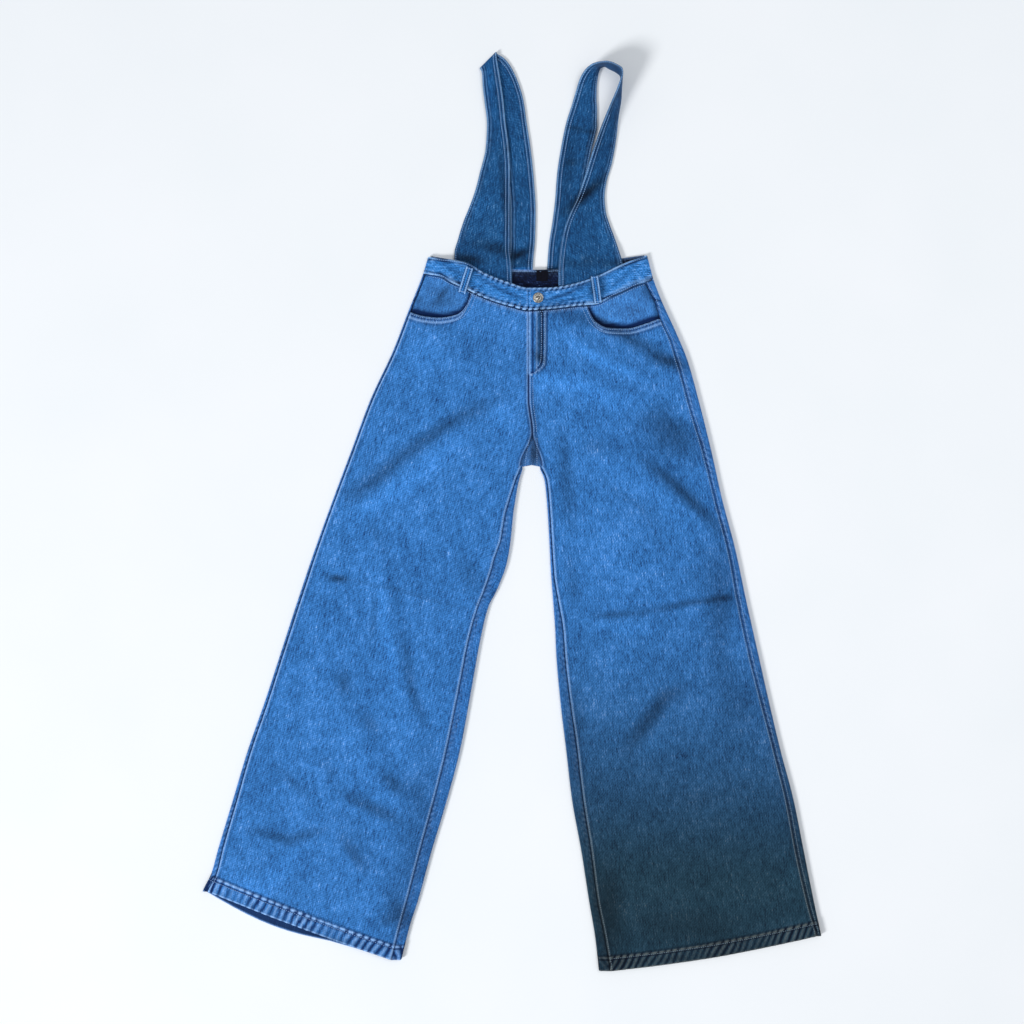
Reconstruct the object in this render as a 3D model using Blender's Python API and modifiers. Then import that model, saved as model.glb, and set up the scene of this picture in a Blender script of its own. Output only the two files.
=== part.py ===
"""Wide-leg denim overalls, laid flat on their back with the straps above the waist.

World frame in metres, +Z up. The cloth lies on z = 0, the waist is towards +Y and
the wearer's left is towards +X. Sizes below are in millimetres.
"""
import math

import bmesh
import bpy
from mathutils import Vector

MM = 0.001

# Cloth and seams
DENIM = 1.2                # single cloth
HEM_WALL = 2.5             # cloth turned up twice
BAND_WALL = 2.4            # waistband, doubled
STRAP_WALL = 2.2           # strap and wing, doubled
LOOP_WALL = 1.8
LABEL_WALL = 0.6
GAP = 0.3                  # between pieces that are sewn together
FOLD_RADIUS = 2.9          # outer radius of the cloth at the side folds
HEM_RADIUS = 3.8
BAND_RADIUS = 2.75
BAND_LAP = 1.5             # the front band runs on this far under the side fold
HEM_DEPTH = 22.0
FULLNESS = 0.8             # the top layer stands this much proud between its edges
EDGE_EASE = 26.0           # and rises to it over this width
FACING_DROP = 1.8          # pocket facing under the front
FACING_UNDERLAP = 14.0     # and past the pocket mouth

# Fly, loops, button, label
FLY_FOOT = 216.5           # y where the fly's stitching ends
FLY_RISE = 0.8
LOOP_WIDTH = 12.5
LOOP_ARCH = 1.2
BUTTON_AT = (41.6, 339.2)
BUTTON_RADIUS = 8.5
LABEL_BOX = (39.0, 57.0, 367.0, 384.0)

CENTRE_FRONT = 26.4        # x of the centre front line
CENTRE_BACK = 32.0         # x of the centre back seam
CROTCH_FRONT = 124.8       # y where the front crotch seam ends
CROTCH_FOLD = 72.8         # y of the fold under the crotch
CROTCH_TURN = 16.0         # the back turns up into the inner fold over this length
CROTCH_CURLS = (0.12, 0.35, 0.58, 0.8)
CROTCH_MIDDLE = (30.0, 100.0)
CROTCH_DIP = 2.4           # the cloth sinks this much between the legs
CROTCH_SPREAD = 34.0       # within this distance
CROTCH_FULL = 90.0         # and is full again past this one
CROTCH_LEAD = 6.0          # the sections across the crotch slope up to the outer edge by this much
FOLD_LEAD = 12.0           # and by this much at the fold
CENTRE_BEND = 6.0          # the centre front seam bends this far to the left above the crotch
HIP_SECTIONS = 7           # from the pockets to the crotch
LEG_SECTIONS = 17          # from the crotch to the hem
YOKE_SIDE = 336.0
YOKE_CENTRE = 284.0

FOLD_STEPS = 4             # facets round a side fold
SHARES = [0, 0.012, 0.03, 0.1, 0.22, 0.34, 0.46, 0.58, 0.7, 0.855, 0.87, 0.94, 0.975, 0.99, 1]
FLY_SHARE = 0.865          # columns past this one lie on the fly
FLOOR_STEPS = 6            # facets across the layer on the floor


class Table:
    """Rows of sizes under named columns, read smoothly at any value of the first column."""

    def __init__(self, columns, rows):
        self.columns = columns.split()
        self.rows = sorted(rows)
        self.keys = [row[0] for row in self.rows]

    def slope(self, index, column):
        """Slope at a row, none where the values turn back, so the curve never overshoots."""
        if index in (0, len(self.rows) - 1):
            other = 1 if index == 0 else index - 1
            rise = self.rows[other][column] - self.rows[index][column]
            return rise / (self.keys[other] - self.keys[index])
        before, here, after = self.rows[index - 1:index + 2]
        down = (here[column] - before[column]) / (here[0] - before[0])
        up = (after[column] - here[column]) / (after[0] - here[0])
        return 0.0 if down * up <= 0 else 2 * down * up / (down + up)

    def read(self, name, key):
        column = self.columns.index(name)
        key = min(max(key, self.keys[0]), self.keys[-1])
        index = 0
        while index < len(self.keys) - 2 and key > self.keys[index + 1]:
            index += 1
        span = self.keys[index + 1] - self.keys[index]
        part = (key - self.keys[index]) / span
        low = self.rows[index][column]
        high = self.rows[index + 1][column]
        in_slope = self.slope(index, column) * span
        out_slope = self.slope(index + 1, column) * span
        square = part * part
        cube = square * part
        return ((2 * cube - 3 * square + 1) * low + (cube - 2 * square + part) * in_slope
                + (3 * square - 2 * cube) * high + (cube - square) * out_slope)


# Outlines of the legs by height: x of the edge, and how far in from it the seam lies on top
RIGHT_OUTER = Table("y x lip", [
    (406, -134, 4), (379, -142, 4), (318, -166, 4), (258, -189, 4), (178, -226, 4), (98, -256, 4),
    (18, -286, 4), (-62, -315, 4.5), (-142, -342, 5), (-222, -368, 5), (-302, -394, 5.5),
    (-382, -422, 6), (-462, -446, 7), (-542, -470, 8), (-578, -480, 9), (-607, -494, 9), (-640, -504, 9)])
RIGHT_INNER = Table("y x lip", [
    (73, 19, 4), (46, 10.5, 6), (18, 5.5, 10), (-5, 2, 13), (-46, -2, 16), (-82, -8, 22), (-126, -24, 20),
    (-154, -38, 17), (-208, -51, 19), (-269, -62, 20), (-382, -83, 22), (-462, -104, 21),
    (-542, -128, 19), (-622, -150, 18), (-662, -163, 16), (-718, -177, 16)])
LEFT_OUTER = Table("y x lip", [
    (408, 216, 14), (370, 226, 16), (336, 239, 12), (303, 254, 16), (274, 267, 15), (242, 280, 18),
    (178, 298, 18), (98, 318, 14), (18, 336, 12), (-62, 357, 12), (-142, 374, 14), (-222, 392, 15),
    (-302, 410, 13), (-382, 429, 11), (-462, 450, 12), (-542, 466, 13), (-622, 482, 11),
    (-678, 494, 8), (-700, 499, 8)])
LEFT_INNER = Table("y x lip", [
    (73, 42, 4), (49, 52, 4), (18, 55.5, 4), (-26, 58.5, 4), (-102, 62.5, 5), (-148, 66, 9), (-190, 69, 13),
    (-226, 70.5, 14), (-302, 77, 16), (-382, 86.5, 18), (-462, 96, 18), (-542, 110.5, 16), (-622, 123, 14),
    (-682, 133, 16), (-736, 139, 19)])

# Waist edges by x, from the wearer's right side to the left
BAND_TOP = Table("x y", [
    (-134, 405.5), (-107, 402), (-75, 397), (-45, 380), (-2, 363), (26, 355.5), (61, 356), (94, 361),
    (120, 368.5), (142, 377), (168, 390), (192, 400), (216, 408)])
BAND_SEAM = Table("x y", [
    (-142, 379), (-114, 374), (-101, 366), (-74, 354), (-54, 344), (-26, 333), (-2, 326), (26, 319.5),
    (54, 321), (78, 323.5), (107, 327), (133, 329), (157, 340), (176, 349), (200, 360), (226, 369.5)])
BACK_BAND_TOP = Table("x y", [
    (-134, 408), (-80, 399), (-20, 386), (32, 385), (80, 387), (150, 400), (220, 410)])
BACK_BAND_SEAM = Table("x y", [(-142, 379), (-60, 357), (32, 346), (130, 355), (226, 369.5)])

# How far the wings lift the front band, and the strap ends the back band
WAIST_RISE = Table("x rise", [
    (-128, 0), (-100, 3.1), (-45, 4.5), (-10, 5.6), (90, 5.6), (125, 4.5), (188, 3.1), (214, 0)])
WAIST_FADE = 75.0          # the rise dies out over this length below the band
BAND_LIFT = Table("x lift", [(-46, 0), (-20, 2.5), (103, 2.5), (132, 0)])

# Pocket mouths, from the side seam to the waist seam
RIGHT_POCKET = Table("part x y", [(0, -162, 317), (0.2, -143, 311), (0.4, -116, 308), (0.6, -88, 313),
                                  (0.75, -74, 325), (0.9, -66, 343), (1, -63, 349)])
LEFT_POCKET = Table("part x y", [(0, 233, 306), (0.15, 214, 299), (0.35, 183, 291), (0.55, 154, 292),
                                 (0.75, 132, 303), (0.9, 123, 318), (1, 119, 327)])

# Largest folds of the top layer: three points on the crest, half its width and its height
FOLDS = [
    dict(start=(-35, 174), middle=(-147, 78), end=(-259, -2), half=34, height=4.0),
    dict(start=(125, 94), middle=(205, 86), end=(320, -34), half=32, height=3.4),
    dict(start=(-229, -18), middle=(-192, -206), end=(-147, -427), half=34, height=4.0),
    dict(start=(-291, -274), middle=(-230, -390), end=(-150, -491), half=32, height=3.2),
    dict(start=(290, -274), middle=(229, -326), end=(170, -390), half=34, height=3.4),
    dict(start=(66, 277), middle=(141, 254), end=(229, 197), half=28, height=2.4),
    dict(start=(58, 202), middle=(120, 178), end=(181, 146), half=28, height=2.2),
    dict(start=(53, 178), middle=(92, 60), end=(101, -142), half=30, height=-1.0),
]

# Straps: the neck edge and the arm edge of the strip, from the wing's foot over the top to the strap's end
RIGHT_STRAP = [
    dict(neck=(0, 338, 6.9), arm=(-88, 362, 3.9)),
    dict(neck=(0, 360, 6.9), arm=(-90, 372, 3.9)),
    dict(neck=(0, 378, 6.9), arm=(-92, 391, 3.9)),
    dict(neck=(-1, 396, 6.7), arm=(-92, 411, 3.6)),
    dict(neck=(-3, 420, 4.6), arm=(-86, 435, 1.4)),
    dict(neck=(-3, 446, 3.9), arm=(-78, 461, 1.3)),
    dict(neck=(-3, 474, 3.9), arm=(-68, 486, 1.3)),
    dict(neck=(-3, 502, 3.9), arm=(-59, 511, 1.4)),
    dict(neck=(-3, 538, 3.9), arm=(-51, 542, 1.8)),
    dict(neck=(-5, 578, 3.9), arm=(-42, 580, 3.0)),
    dict(neck=(-10, 618, 3.9), arm=(-40, 618, 3.9)),
    dict(neck=(-14, 658, 4.1), arm=(-44, 654, 4.1)),
    dict(neck=(-19, 692, 4.4), arm=(-47, 680, 4.4)),
    dict(neck=(-24, 721, 4.7), arm=(-48, 699, 4.7)),
    dict(neck=(-25, 731, 4.2), arm=(-50, 705, 4.2)),
    dict(neck=(-25, 733, 2.9), arm=(-51, 707, 2.9)),
    dict(neck=(-24, 731, 1.6), arm=(-49, 704, 1.6)),
    dict(neck=(-13, 724, 1.1), arm=(-42, 690, 1.1)),
    dict(neck=(-3, 712, 1.1), arm=(-34, 672, 1.1)),
    dict(neck=(8, 690, 1.1), arm=(-26, 651, 1.1)),
    dict(neck=(18, 658, 1.1), arm=(-19, 626, 1.1)),
    dict(neck=(24, 618, 1.1), arm=(-14, 598, 1.1)),
    dict(neck=(30, 578, 1.1), arm=(-11, 570, 1.1)),
    dict(neck=(35, 530, 1.1), arm=(-6, 526, 1.1)),
    dict(neck=(38, 482, 1.1), arm=(-3, 482, 1.1)),
    dict(neck=(37, 434, 1.1), arm=(-3, 434, 1.1)),
    dict(neck=(34, 400, 1.1), arm=(-5, 400, 1.1)),
    dict(neck=(32, 364, 1.1), arm=(-6, 364, 1.1)),
]
LEFT_STRAP = [
    dict(neck=(74, 338, 7.1), arm=(182, 354, 3.9)),
    dict(neck=(74, 362, 7.1), arm=(180, 374, 3.9)),
    dict(neck=(74, 386, 7.1), arm=(176, 398, 3.9)),
    dict(neck=(76, 408, 6.6), arm=(170, 418, 3.4)),
    dict(neck=(79, 430, 5.2), arm=(163, 439, 1.6)),
    dict(neck=(84, 452, 5.2), arm=(156, 458, 1.3)),
    dict(neck=(92, 474, 5.2), arm=(150, 478, 1.3)),
    dict(neck=(104, 500, 5.6), arm=(148, 502, 1.3)),
    dict(neck=(115, 530, 9.5), arm=(151, 526, 1.3)),
    dict(neck=(125, 562, 15), arm=(159, 555, 1.3)),
    dict(neck=(139, 602, 22), arm=(166, 594, 1.3)),
    dict(neck=(155, 640, 29), arm=(170, 632, 1.3)),
    dict(neck=(168, 670, 34), arm=(174, 658, 1.3)),
    dict(neck=(174, 689, 37), arm=(175, 680, 1.3)),
    dict(neck=(173, 696, 37), arm=(174, 694, 1.3)),
    dict(neck=(165, 702, 37), arm=(166, 702, 1.3)),
    dict(neck=(156, 706, 37), arm=(156, 707, 1.3)),
    dict(neck=(147.7, 707.5, 36), arm=(148, 711, 1.3)),
    dict(neck=(137, 707, 34), arm=(142, 709, 1.3)),
    dict(neck=(128, 706, 29), arm=(138, 701, 1.3)),
    dict(neck=(118.5, 702, 20), arm=(136, 689, 1.3)),
    dict(neck=(109, 690, 12), arm=(135, 675, 1.3)),
    dict(neck=(102, 670, 6), arm=(135, 660, 1.3)),
    dict(neck=(96, 650, 3), arm=(136, 642, 1.3)),
    dict(neck=(86, 618, 1.3), arm=(136, 616, 1.3)),
    dict(neck=(78, 578, 1.1), arm=(127, 577, 1.1)),
    dict(neck=(72, 538, 1.1), arm=(120, 538, 1.1)),
    dict(neck=(69, 498, 1.1), arm=(115, 498, 1.1)),
    dict(neck=(64, 458, 1.1), arm=(109, 458, 1.1)),
    dict(neck=(59, 426, 1.1), arm=(102, 426, 1.1)),
    dict(neck=(55, 370, 1.1), arm=(94, 370, 1.1)),
]

# Belt loops: the middle of the upper and the lower end
LOOPS = {"right": ((-67, 388), (-80, 347)), "left": ((131, 374), (137, 331))}

# Legs: the side of the body they are on and their outlines
LEGS = {
    "right": dict(side=-1, outer=RIGHT_OUTER, inner=RIGHT_INNER, pocket=RIGHT_POCKET,
                  waist_top=405.5, waist_seam=379, hem_outer=-607, hem_inner=-716, hem_bow=-3.0,
                  back_hem_bow=-11.0, back_hem_drop=8.0),
    "left": dict(side=1, outer=LEFT_OUTER, inner=LEFT_INNER, pocket=LEFT_POCKET,
                 waist_top=408, waist_seam=369.5, hem_outer=-678, hem_inner=-733.5, hem_bow=-6.0,
                 back_hem_bow=-6.0, back_hem_drop=0.0),
}


def ease(value):
    """0 to 1 with level ends"""
    value = min(max(value, 0.0), 1.0)
    return value * value * (3 - 2 * value)


def mix(low, high, part):
    return low + (high - low) * part


def fold_height(x, y):
    """Sum of the soft ridges and troughs at a place"""
    total = 0.0
    here = Vector((x, y))
    for fold in FOLDS:
        points = [Vector(fold[name]) for name in ("start", "middle", "end")]
        best = 0.0
        for index in (0, 1):
            along = points[index + 1] - points[index]
            part = (here - points[index]).dot(along) / along.length_squared
            nearest = points[index] + along * min(max(part, 0.0), 1.0)
            length_part = (index + min(max(part, 0.0), 1.0)) / 2
            taper = math.sin(math.pi * (0.12 + 0.76 * length_part))
            best = max(best, taper * (1 - ease((here - nearest).length / fold["half"])))
        total += fold["height"] * best
    return total


def relief(x, y):
    """Height of the top layer over a flat leg, from the waist's thickness and the folds"""
    below = BAND_SEAM.read("y", x) - y
    rise = WAIST_RISE.read("rise", x) * (1 - ease(below / WAIST_FADE))
    crotch = (Vector((x, y)) - Vector(CROTCH_MIDDLE)).length
    dip = -CROTCH_DIP * (1 - ease(crotch / CROTCH_SPREAD))
    full = FULLNESS * ease(below / WAIST_FADE) * ease((crotch - 30) / (CROTCH_FULL - 30))
    return rise + dip + full + fold_height(x, y)


def lay(leg, on_top, x, y, radius, inner_fold):
    """Place of a point of the flat plan once its cloth has gone round the side folds.

    Past an edge's line the plan runs on round the fold to the other layer.
    """
    slack = (math.pi / 2 - 1) * radius
    edges = [(leg["outer"].read("x", y), -leg["side"])]
    if inner_fold:
        edges.append((leg["inner"].read("x", y), leg["side"]))
    edge_x, inward = min(edges, key=lambda edge: (x - edge[0]) * edge[1])
    arc = (x - edge_x) * inward + slack
    if not on_top:
        arc = -arc
    if abs(arc) <= math.pi * radius / 2:
        angle = arc / radius
        place_x = edge_x + inward * radius * (1 - math.cos(angle))
        return Vector((place_x, y, radius + radius * math.sin(angle)))
    inside = abs(arc) - slack
    place_x = edge_x + inward * inside
    if arc < 0:
        return Vector((place_x, y, 0.0))
    rise = relief(place_x, y) * ease((inside - radius) / EDGE_EASE)
    return Vector((place_x, y, 2 * radius + rise))


def material(name, color, roughness=0.85, metallic=0.0):
    made = bpy.data.materials.new(name)
    made.use_nodes = True
    shader = made.node_tree.nodes["Principled BSDF"]
    shader.inputs["Base Color"].default_value = (*color, 1.0)
    shader.inputs["Roughness"].default_value = roughness
    shader.inputs["Metallic"].default_value = metallic
    return made


def add_object(name, mesh, collection, surface):
    made = bpy.data.objects.new(name, mesh)
    mesh.materials.append(surface)
    collection.objects.link(made)
    mesh.shade_smooth()
    mesh.set_sharp_from_angle(angle=math.radians(40))
    return made


def cloth(name, grid, wall, collection, surface, outward=None, thick_rows=None, offset=-1.0):
    """A wall of cloth from a grid of points in mm, with its right side along outward (+1 up, -1 down).

    thick_rows gives the first row of a hem and its wall.
    """
    body = bmesh.new()
    verts = [[body.verts.new(point * MM) for point in row] for row in grid]
    for upper, lower in zip(verts, verts[1:]):
        for index in range(len(upper) - 1):
            body.faces.new((upper[index], lower[index], lower[index + 1], upper[index + 1]))
    body.normal_update()
    if outward is not None:
        lean = sum(face.normal.z * face.calc_area() for face in body.faces)
        if lean * outward < 0:
            bmesh.ops.reverse_faces(body, faces=body.faces)
    mesh = bpy.data.meshes.new(name)
    body.to_mesh(mesh)
    body.free()
    made = add_object(name, mesh, collection, surface)
    solid = made.modifiers.new("wall", "SOLIDIFY")
    solid.thickness = wall * MM
    solid.offset = offset
    if thick_rows:
        first, hem_wall = thick_rows
        width = len(grid[0])
        group = made.vertex_groups.new(name="hem")
        group.add(list(range(first * width, len(grid) * width)), 1.0, "REPLACE")
        solid.vertex_group = "hem"
        solid.thickness = hem_wall * MM
        solid.thickness_vertex_group = wall / hem_wall
    return made


def patch(top, bottom, left, right, shares):
    """Grid of plan points between four edge curves that share their corners (a Coons patch)"""
    rows = []
    for down, (start, end) in enumerate(zip(left, right)):
        v = down / (len(left) - 1)
        row = []
        for u, high, low in zip(shares, top, bottom):
            edges = high * (1 - v) + low * v + start * (1 - u) + end * u
            corners = (top[0] * (1 - u) * (1 - v) + top[-1] * u * (1 - v)
                       + bottom[0] * (1 - u) * v + bottom[-1] * u * v)
            row.append(edges - corners)
        rows.append(row)
    return rows


def respaced(points, parts):
    """Points of a polyline at the given shares of its length"""
    lengths = [0.0]
    for start, end in zip(points, points[1:]):
        lengths.append(lengths[-1] + (end - start).length)
    made = []
    for part in parts:
        target = part * lengths[-1]
        index = 0
        while index < len(points) - 2 and target > lengths[index + 1]:
            index += 1
        span = lengths[index + 1] - lengths[index]
        made.append(points[index].lerp(points[index + 1], (target - lengths[index]) / span))
    return made


def even(count):
    return [index / count for index in range(count + 1)]


def hem_bulge(leg, part, is_back):
    """How far the hem's edge leaves its straight line, from the outer corner (0) to the inner one (1)"""
    bow = leg["back_hem_bow" if is_back else "hem_bow"] * math.sin(math.pi * part)
    if is_back:
        bow -= leg["back_hem_drop"] * math.sin(math.pi * min(part * 1.6, 1.0))
    return Vector((0, bow))


def leg_heights(leg, inner_top, first=None):
    """Sections: heights at the outer and the inner edge, how far the inner fold has closed, and its radius"""
    outer_top = leg["pocket"].rows[0][2]
    rows = [first] if first else []

    def run(outer_from, outer_to, inner_from, inner_to, count, curl, radius=FOLD_RADIUS, last=False):
        for index in range(count + (1 if last else 0)):
            part = index / count
            rows.append((mix(outer_from, outer_to, part), mix(inner_from, inner_to, part), curl, radius))

    outer_crotch = CROTCH_FRONT + CROTCH_LEAD
    outer_fold = CROTCH_FOLD + FOLD_LEAD
    below_fold = CROTCH_FOLD - CROTCH_TURN
    hem_outer = leg["hem_outer"] + HEM_DEPTH
    hem_inner = leg["hem_inner"] + HEM_DEPTH
    run(outer_top, outer_crotch, inner_top, CROTCH_FRONT, HIP_SECTIONS, 0)
    run(outer_crotch, outer_fold, CROTCH_FRONT, CROTCH_FOLD + 0.6, 2, 0)
    run(outer_fold, outer_fold - 2, CROTCH_FOLD + 0.6, CROTCH_FOLD - 2, 1, 0)
    for step, curl in enumerate(CROTCH_CURLS):
        down = 2 + step * (CROTCH_TURN - 2) / len(CROTCH_CURLS)
        rows.append((outer_fold - down, CROTCH_FOLD - down, curl, FOLD_RADIUS))
    run(outer_fold - CROTCH_TURN, hem_outer + 3, below_fold, hem_inner + 3, LEG_SECTIONS, 1)
    run(hem_outer + 3, hem_outer, hem_inner + 3, hem_inner, 1, 1)
    run(hem_outer, leg["hem_outer"], hem_inner, leg["hem_inner"], 1, 1, HEM_RADIUS, last=True)
    return rows


def front_inner_x(leg, y, folded):
    """x of the front's inner edge: centre front, crotch, then inseam"""
    side = leg["side"]
    if folded:
        edge = leg["inner"].read("x", y)
        return edge + side * (leg["inner"].read("lip", y) + GAP / 2)
    if y >= CROTCH_FRONT:
        bend = CENTRE_BEND * ease((CROTCH_FRONT + 55 - y) / 55)
        return CENTRE_FRONT + bend + side * GAP / 2
    seam = leg["inner"].read("x", CROTCH_FOLD) + side * leg["inner"].read("lip", CROTCH_FOLD)
    part = ease((CROTCH_FRONT - y) / (CROTCH_FRONT - CROTCH_FOLD))
    return mix(CENTRE_FRONT + CENTRE_BEND + side * GAP / 2, seam + side * 1.0, part)


def curve_shares(points, corner):
    """Column shares with the nearest one moved to a corner of the edge curve"""
    lengths = [0.0]
    for start, end in zip(points, points[1:]):
        lengths.append(lengths[-1] + (end - start).length)
    at_corner = lengths[corner] / lengths[-1]
    shares = list(SHARES)
    nearest = min(range(3, len(shares) - 6), key=lambda index: abs(shares[index] - at_corner))
    shares[nearest] = at_corner
    return shares, nearest


def waist_point(x, drop=0.0):
    return Vector((x, BAND_SEAM.read("y", x) - drop))


def front_top(leg):
    """Top edge of the front panel by columns: shares, points and the column at the pocket's corner"""
    side = leg["side"]
    mouth = [Vector((leg["pocket"].read("x", part), leg["pocket"].read("y", part))) for part in even(10)]
    waist = [waist_point(mix(mouth[-1].x, CENTRE_FRONT + side * GAP / 2, part), 2 * GAP) for part in even(8)]
    shares, corner = curve_shares(mouth[:-1] + waist, len(mouth) - 1)
    return shares, respaced(mouth[:-1] + waist, shares), corner


def front_grid(leg):
    """Front panel: pocket mouth and waist seam, outer seam, inner edge and hem"""
    side = leg["side"]
    shares, top, corner = front_top(leg)
    heights = leg_heights(leg, top[-1].y)
    left = []
    right = []
    for outer_y, inner_y, curl, radius in heights:
        lip = leg["outer"].read("lip", outer_y) + GAP / 2
        left.append(Vector((leg["outer"].read("x", outer_y) - side * lip, outer_y)))
        right.append(Vector((front_inner_x(leg, inner_y, curl > 0), inner_y)))
    top[0] = left[0]
    top[-1] = right[0]
    bottom = []
    for part in shares:
        bottom.append(left[-1].lerp(right[-1], part) + hem_bulge(leg, part, False))
    plan = patch(top, bottom, left, right, shares)
    rows = []
    for row, (outer_y, inner_y, curl, radius) in zip(plan, heights):
        placed = [lay(leg, True, point.x, point.y, radius, curl > 0) for point in row]
        if side > 0 and inner_y > FLY_FOOT:
            for share, point in zip(shares, placed):
                point.z += FLY_RISE if share > FLY_SHARE else 0.0
        rows.append(placed)
    return rows, len(heights) - 2


def fold_marks(edge_x, outward, lip, radius, curl=1):
    """Plan x of the columns from a seam on top, round a fold, to where the floor starts.

    A curl under 1 ends the cloth part of the way round.
    """
    slack = (math.pi / 2 - 1) * radius
    quarter = math.pi * radius / 2
    seam = lip + slack if curl == 1 else mix(-quarter, quarter, curl)
    start = min(quarter, seam - GAP)
    end = min(-quarter, start - radius)
    arcs = [seam] + [mix(start, end, step / FOLD_STEPS) for step in range(FOLD_STEPS + 1)]
    return [edge_x + outward * (arc + slack) for arc in arcs]


def back_row(leg, height):
    """Plan points of one back section, from the outer seam on top to the centre back or the inseam"""
    outer_y, inner_y, curl, radius = height
    side = leg["side"]
    outer = fold_marks(leg["outer"].read("x", outer_y), side,
                       leg["outer"].read("lip", outer_y) - GAP / 2, radius)
    if curl:
        inner = fold_marks(leg["inner"].read("x", inner_y), -side,
                           leg["inner"].read("lip", inner_y) - GAP / 2, radius, curl)
        inner.reverse()
    else:
        last = CENTRE_BACK + side * GAP / 2
        step = radius / FOLD_STEPS
        inner = [last + side * step * (FOLD_STEPS + 1 - index) for index in range(FOLD_STEPS + 2)]
    floor = [mix(outer[-1], inner[0], step / FLOOR_STEPS) for step in range(1, FLOOR_STEPS)]
    marks = outer + floor + inner
    return marks, outer[-1], inner[0]


def share_between(x, start, end):
    return min(max((x - start) / (end - start), 0.0), 1.0)


def back_grid(leg):
    """Back panel, wrapped round both side folds, from the yoke's seam to the hem"""
    yoke_seam = (YOKE_SIDE - GAP, YOKE_CENTRE - GAP, 0, FOLD_RADIUS)
    heights = leg_heights(leg, YOKE_CENTRE - 24, yoke_seam)
    rows = []
    for index, height in enumerate(heights):
        outer_y, inner_y, curl, radius = height
        marks, start, end = back_row(leg, height)
        down = index / (len(heights) - 1)
        row = []
        for x in marks:
            share = share_between(x, start, end)
            y = mix(outer_y, inner_y, share) + down * hem_bulge(leg, share, True).y
            row.append(lay(leg, False, x, y, radius, curl > 0))
        rows.append(row)
    return rows, len(heights) - 2


def yoke_grid(leg):
    """Back yoke between the back band and the back panel, with its lip on top at the hip"""
    side = leg["side"]
    rows = []
    for part in even(3):
        row = []
        outer_y = mix(leg["waist_seam"], YOKE_SIDE, part)
        marks, start, end = back_row(leg, (outer_y, YOKE_CENTRE, 0, FOLD_RADIUS))
        edge_x = leg["outer"].read("x", outer_y)
        for x in marks:
            beyond = (x - edge_x) * side - (math.pi - 2) * FOLD_RADIUS
            if (x - edge_x) * side > -FOLD_RADIUS:
                high = waist_point(edge_x - side * max(beyond, 0.0)).y - GAP
            else:
                high = BACK_BAND_SEAM.read("y", x) - GAP
            low = mix(YOKE_SIDE, YOKE_CENTRE, share_between(x, start, end))
            row.append(lay(leg, False, x, mix(high, low, part), FOLD_RADIUS, False))
        rows.append(row)
    return rows


def facing_grid(leg):
    """Pocket facing, a little under the front panel past the mouth"""
    side = leg["side"]
    mouth = [Vector((leg["pocket"].read("x", part), leg["pocket"].read("y", part))) for part in even(5)]
    shares, front, corner = front_top(leg)
    low_y = mouth[0].y - FACING_UNDERLAP

    def seam_point(y):
        lip = leg["outer"].read("lip", y) + GAP
        return Vector((leg["outer"].read("x", y) - side * lip, y))

    start = seam_point(leg["waist_seam"])
    start.y = waist_point(start.x, GAP).y
    left = [start] + [seam_point(mix(start.y, low_y, part)) for part in even(5)[1:]]
    columns = [mix(start.x, front[corner].x, part) for part in even(5)]
    top = [waist_point(x, GAP) for x in columns] + [waist_point(columns[-1] - side * 8, 4 * GAP)]
    low = [mouth[index] + Vector((-side * 8 * index / 5, -FACING_UNDERLAP)) for index in range(6)]
    low[0] = left[-1]
    low.append(low[-1] + Vector((-side * 3, -1)))
    right = [top[-1].lerp(low[-1], part) for part in even(5)]
    shares = [index / 6 for index in range(7)]
    plan = patch(top, low, left, right, shares)
    drop = Vector((0, 0, FACING_DROP))
    return [[lay(leg, True, point.x, point.y, FOLD_RADIUS, False) - drop for point in row] for row in plan]


def front_band_grid(leg):
    """Front waistband from the centre front round the side fold to the back band"""
    side = leg["side"]
    shares, front, corner = front_top(leg)
    columns = [point.x for point in front[corner:]][::-1]
    seam_x = leg["outer"].read("x", leg["waist_seam"]) - side * (leg["outer"].read("lip", 370) + GAP)
    columns += [mix(front[corner].x, seam_x, part) for part in even(5)[1:]]
    reach = BAND_TOP.keys[-1 if side > 0 else 0] - side * 8
    slack = (math.pi / 2 - 1) * BAND_RADIUS
    quarter = math.pi * BAND_RADIUS / 2
    arcs = [mix(quarter, -quarter, step / FOLD_STEPS) for step in range(FOLD_STEPS + 1)]
    arcs.append(-quarter - BAND_LAP)
    rows = []
    for part in even(3):
        row = []
        for x in columns:
            high = mix(columns[0], reach, (x - columns[0]) / (columns[-1] - columns[0]))
            point = Vector((high, BAND_TOP.read("y", high))).lerp(waist_point(x), part)
            row.append(lay(leg, True, point.x, point.y, BAND_RADIUS, False))
        y = mix(leg["waist_top"], leg["waist_seam"], part)
        edge_x = leg["outer"].read("x", y)
        for arc in arcs:
            row.append(lay(leg, True, edge_x - side * (arc - slack), y, BAND_RADIUS, False))
        rows.append(row)
    return rows


def back_band_grid():
    """Back waistband on the floor, lifted over the strap ends"""
    seams = []
    for leg in (LEGS["right"], LEGS["left"]):
        marks, start, end = back_row(leg, (leg["waist_seam"], YOKE_CENTRE, 0, FOLD_RADIUS))
        inner = marks[FOLD_STEPS + 2:]
        seams += inner if leg["side"] < 0 else inner[::-1]
    rows = []
    for part in even(2):
        ends = []
        for leg in (LEGS["right"], LEGS["left"]):
            y = mix(leg["waist_top"], leg["waist_seam"], part)
            ends.append(leg["outer"].read("x", y) - leg["side"] * (BAND_RADIUS + BAND_LAP + 3 * GAP))
        columns = [ends[0]] + seams + [ends[1]]
        row = []
        for x in columns:
            y = mix(BACK_BAND_TOP.read("y", x), BACK_BAND_SEAM.read("y", x), part)
            row.append(Vector((x, y, BAND_LIFT.read("lift", x))))
        rows.append(row)
    return rows


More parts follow.
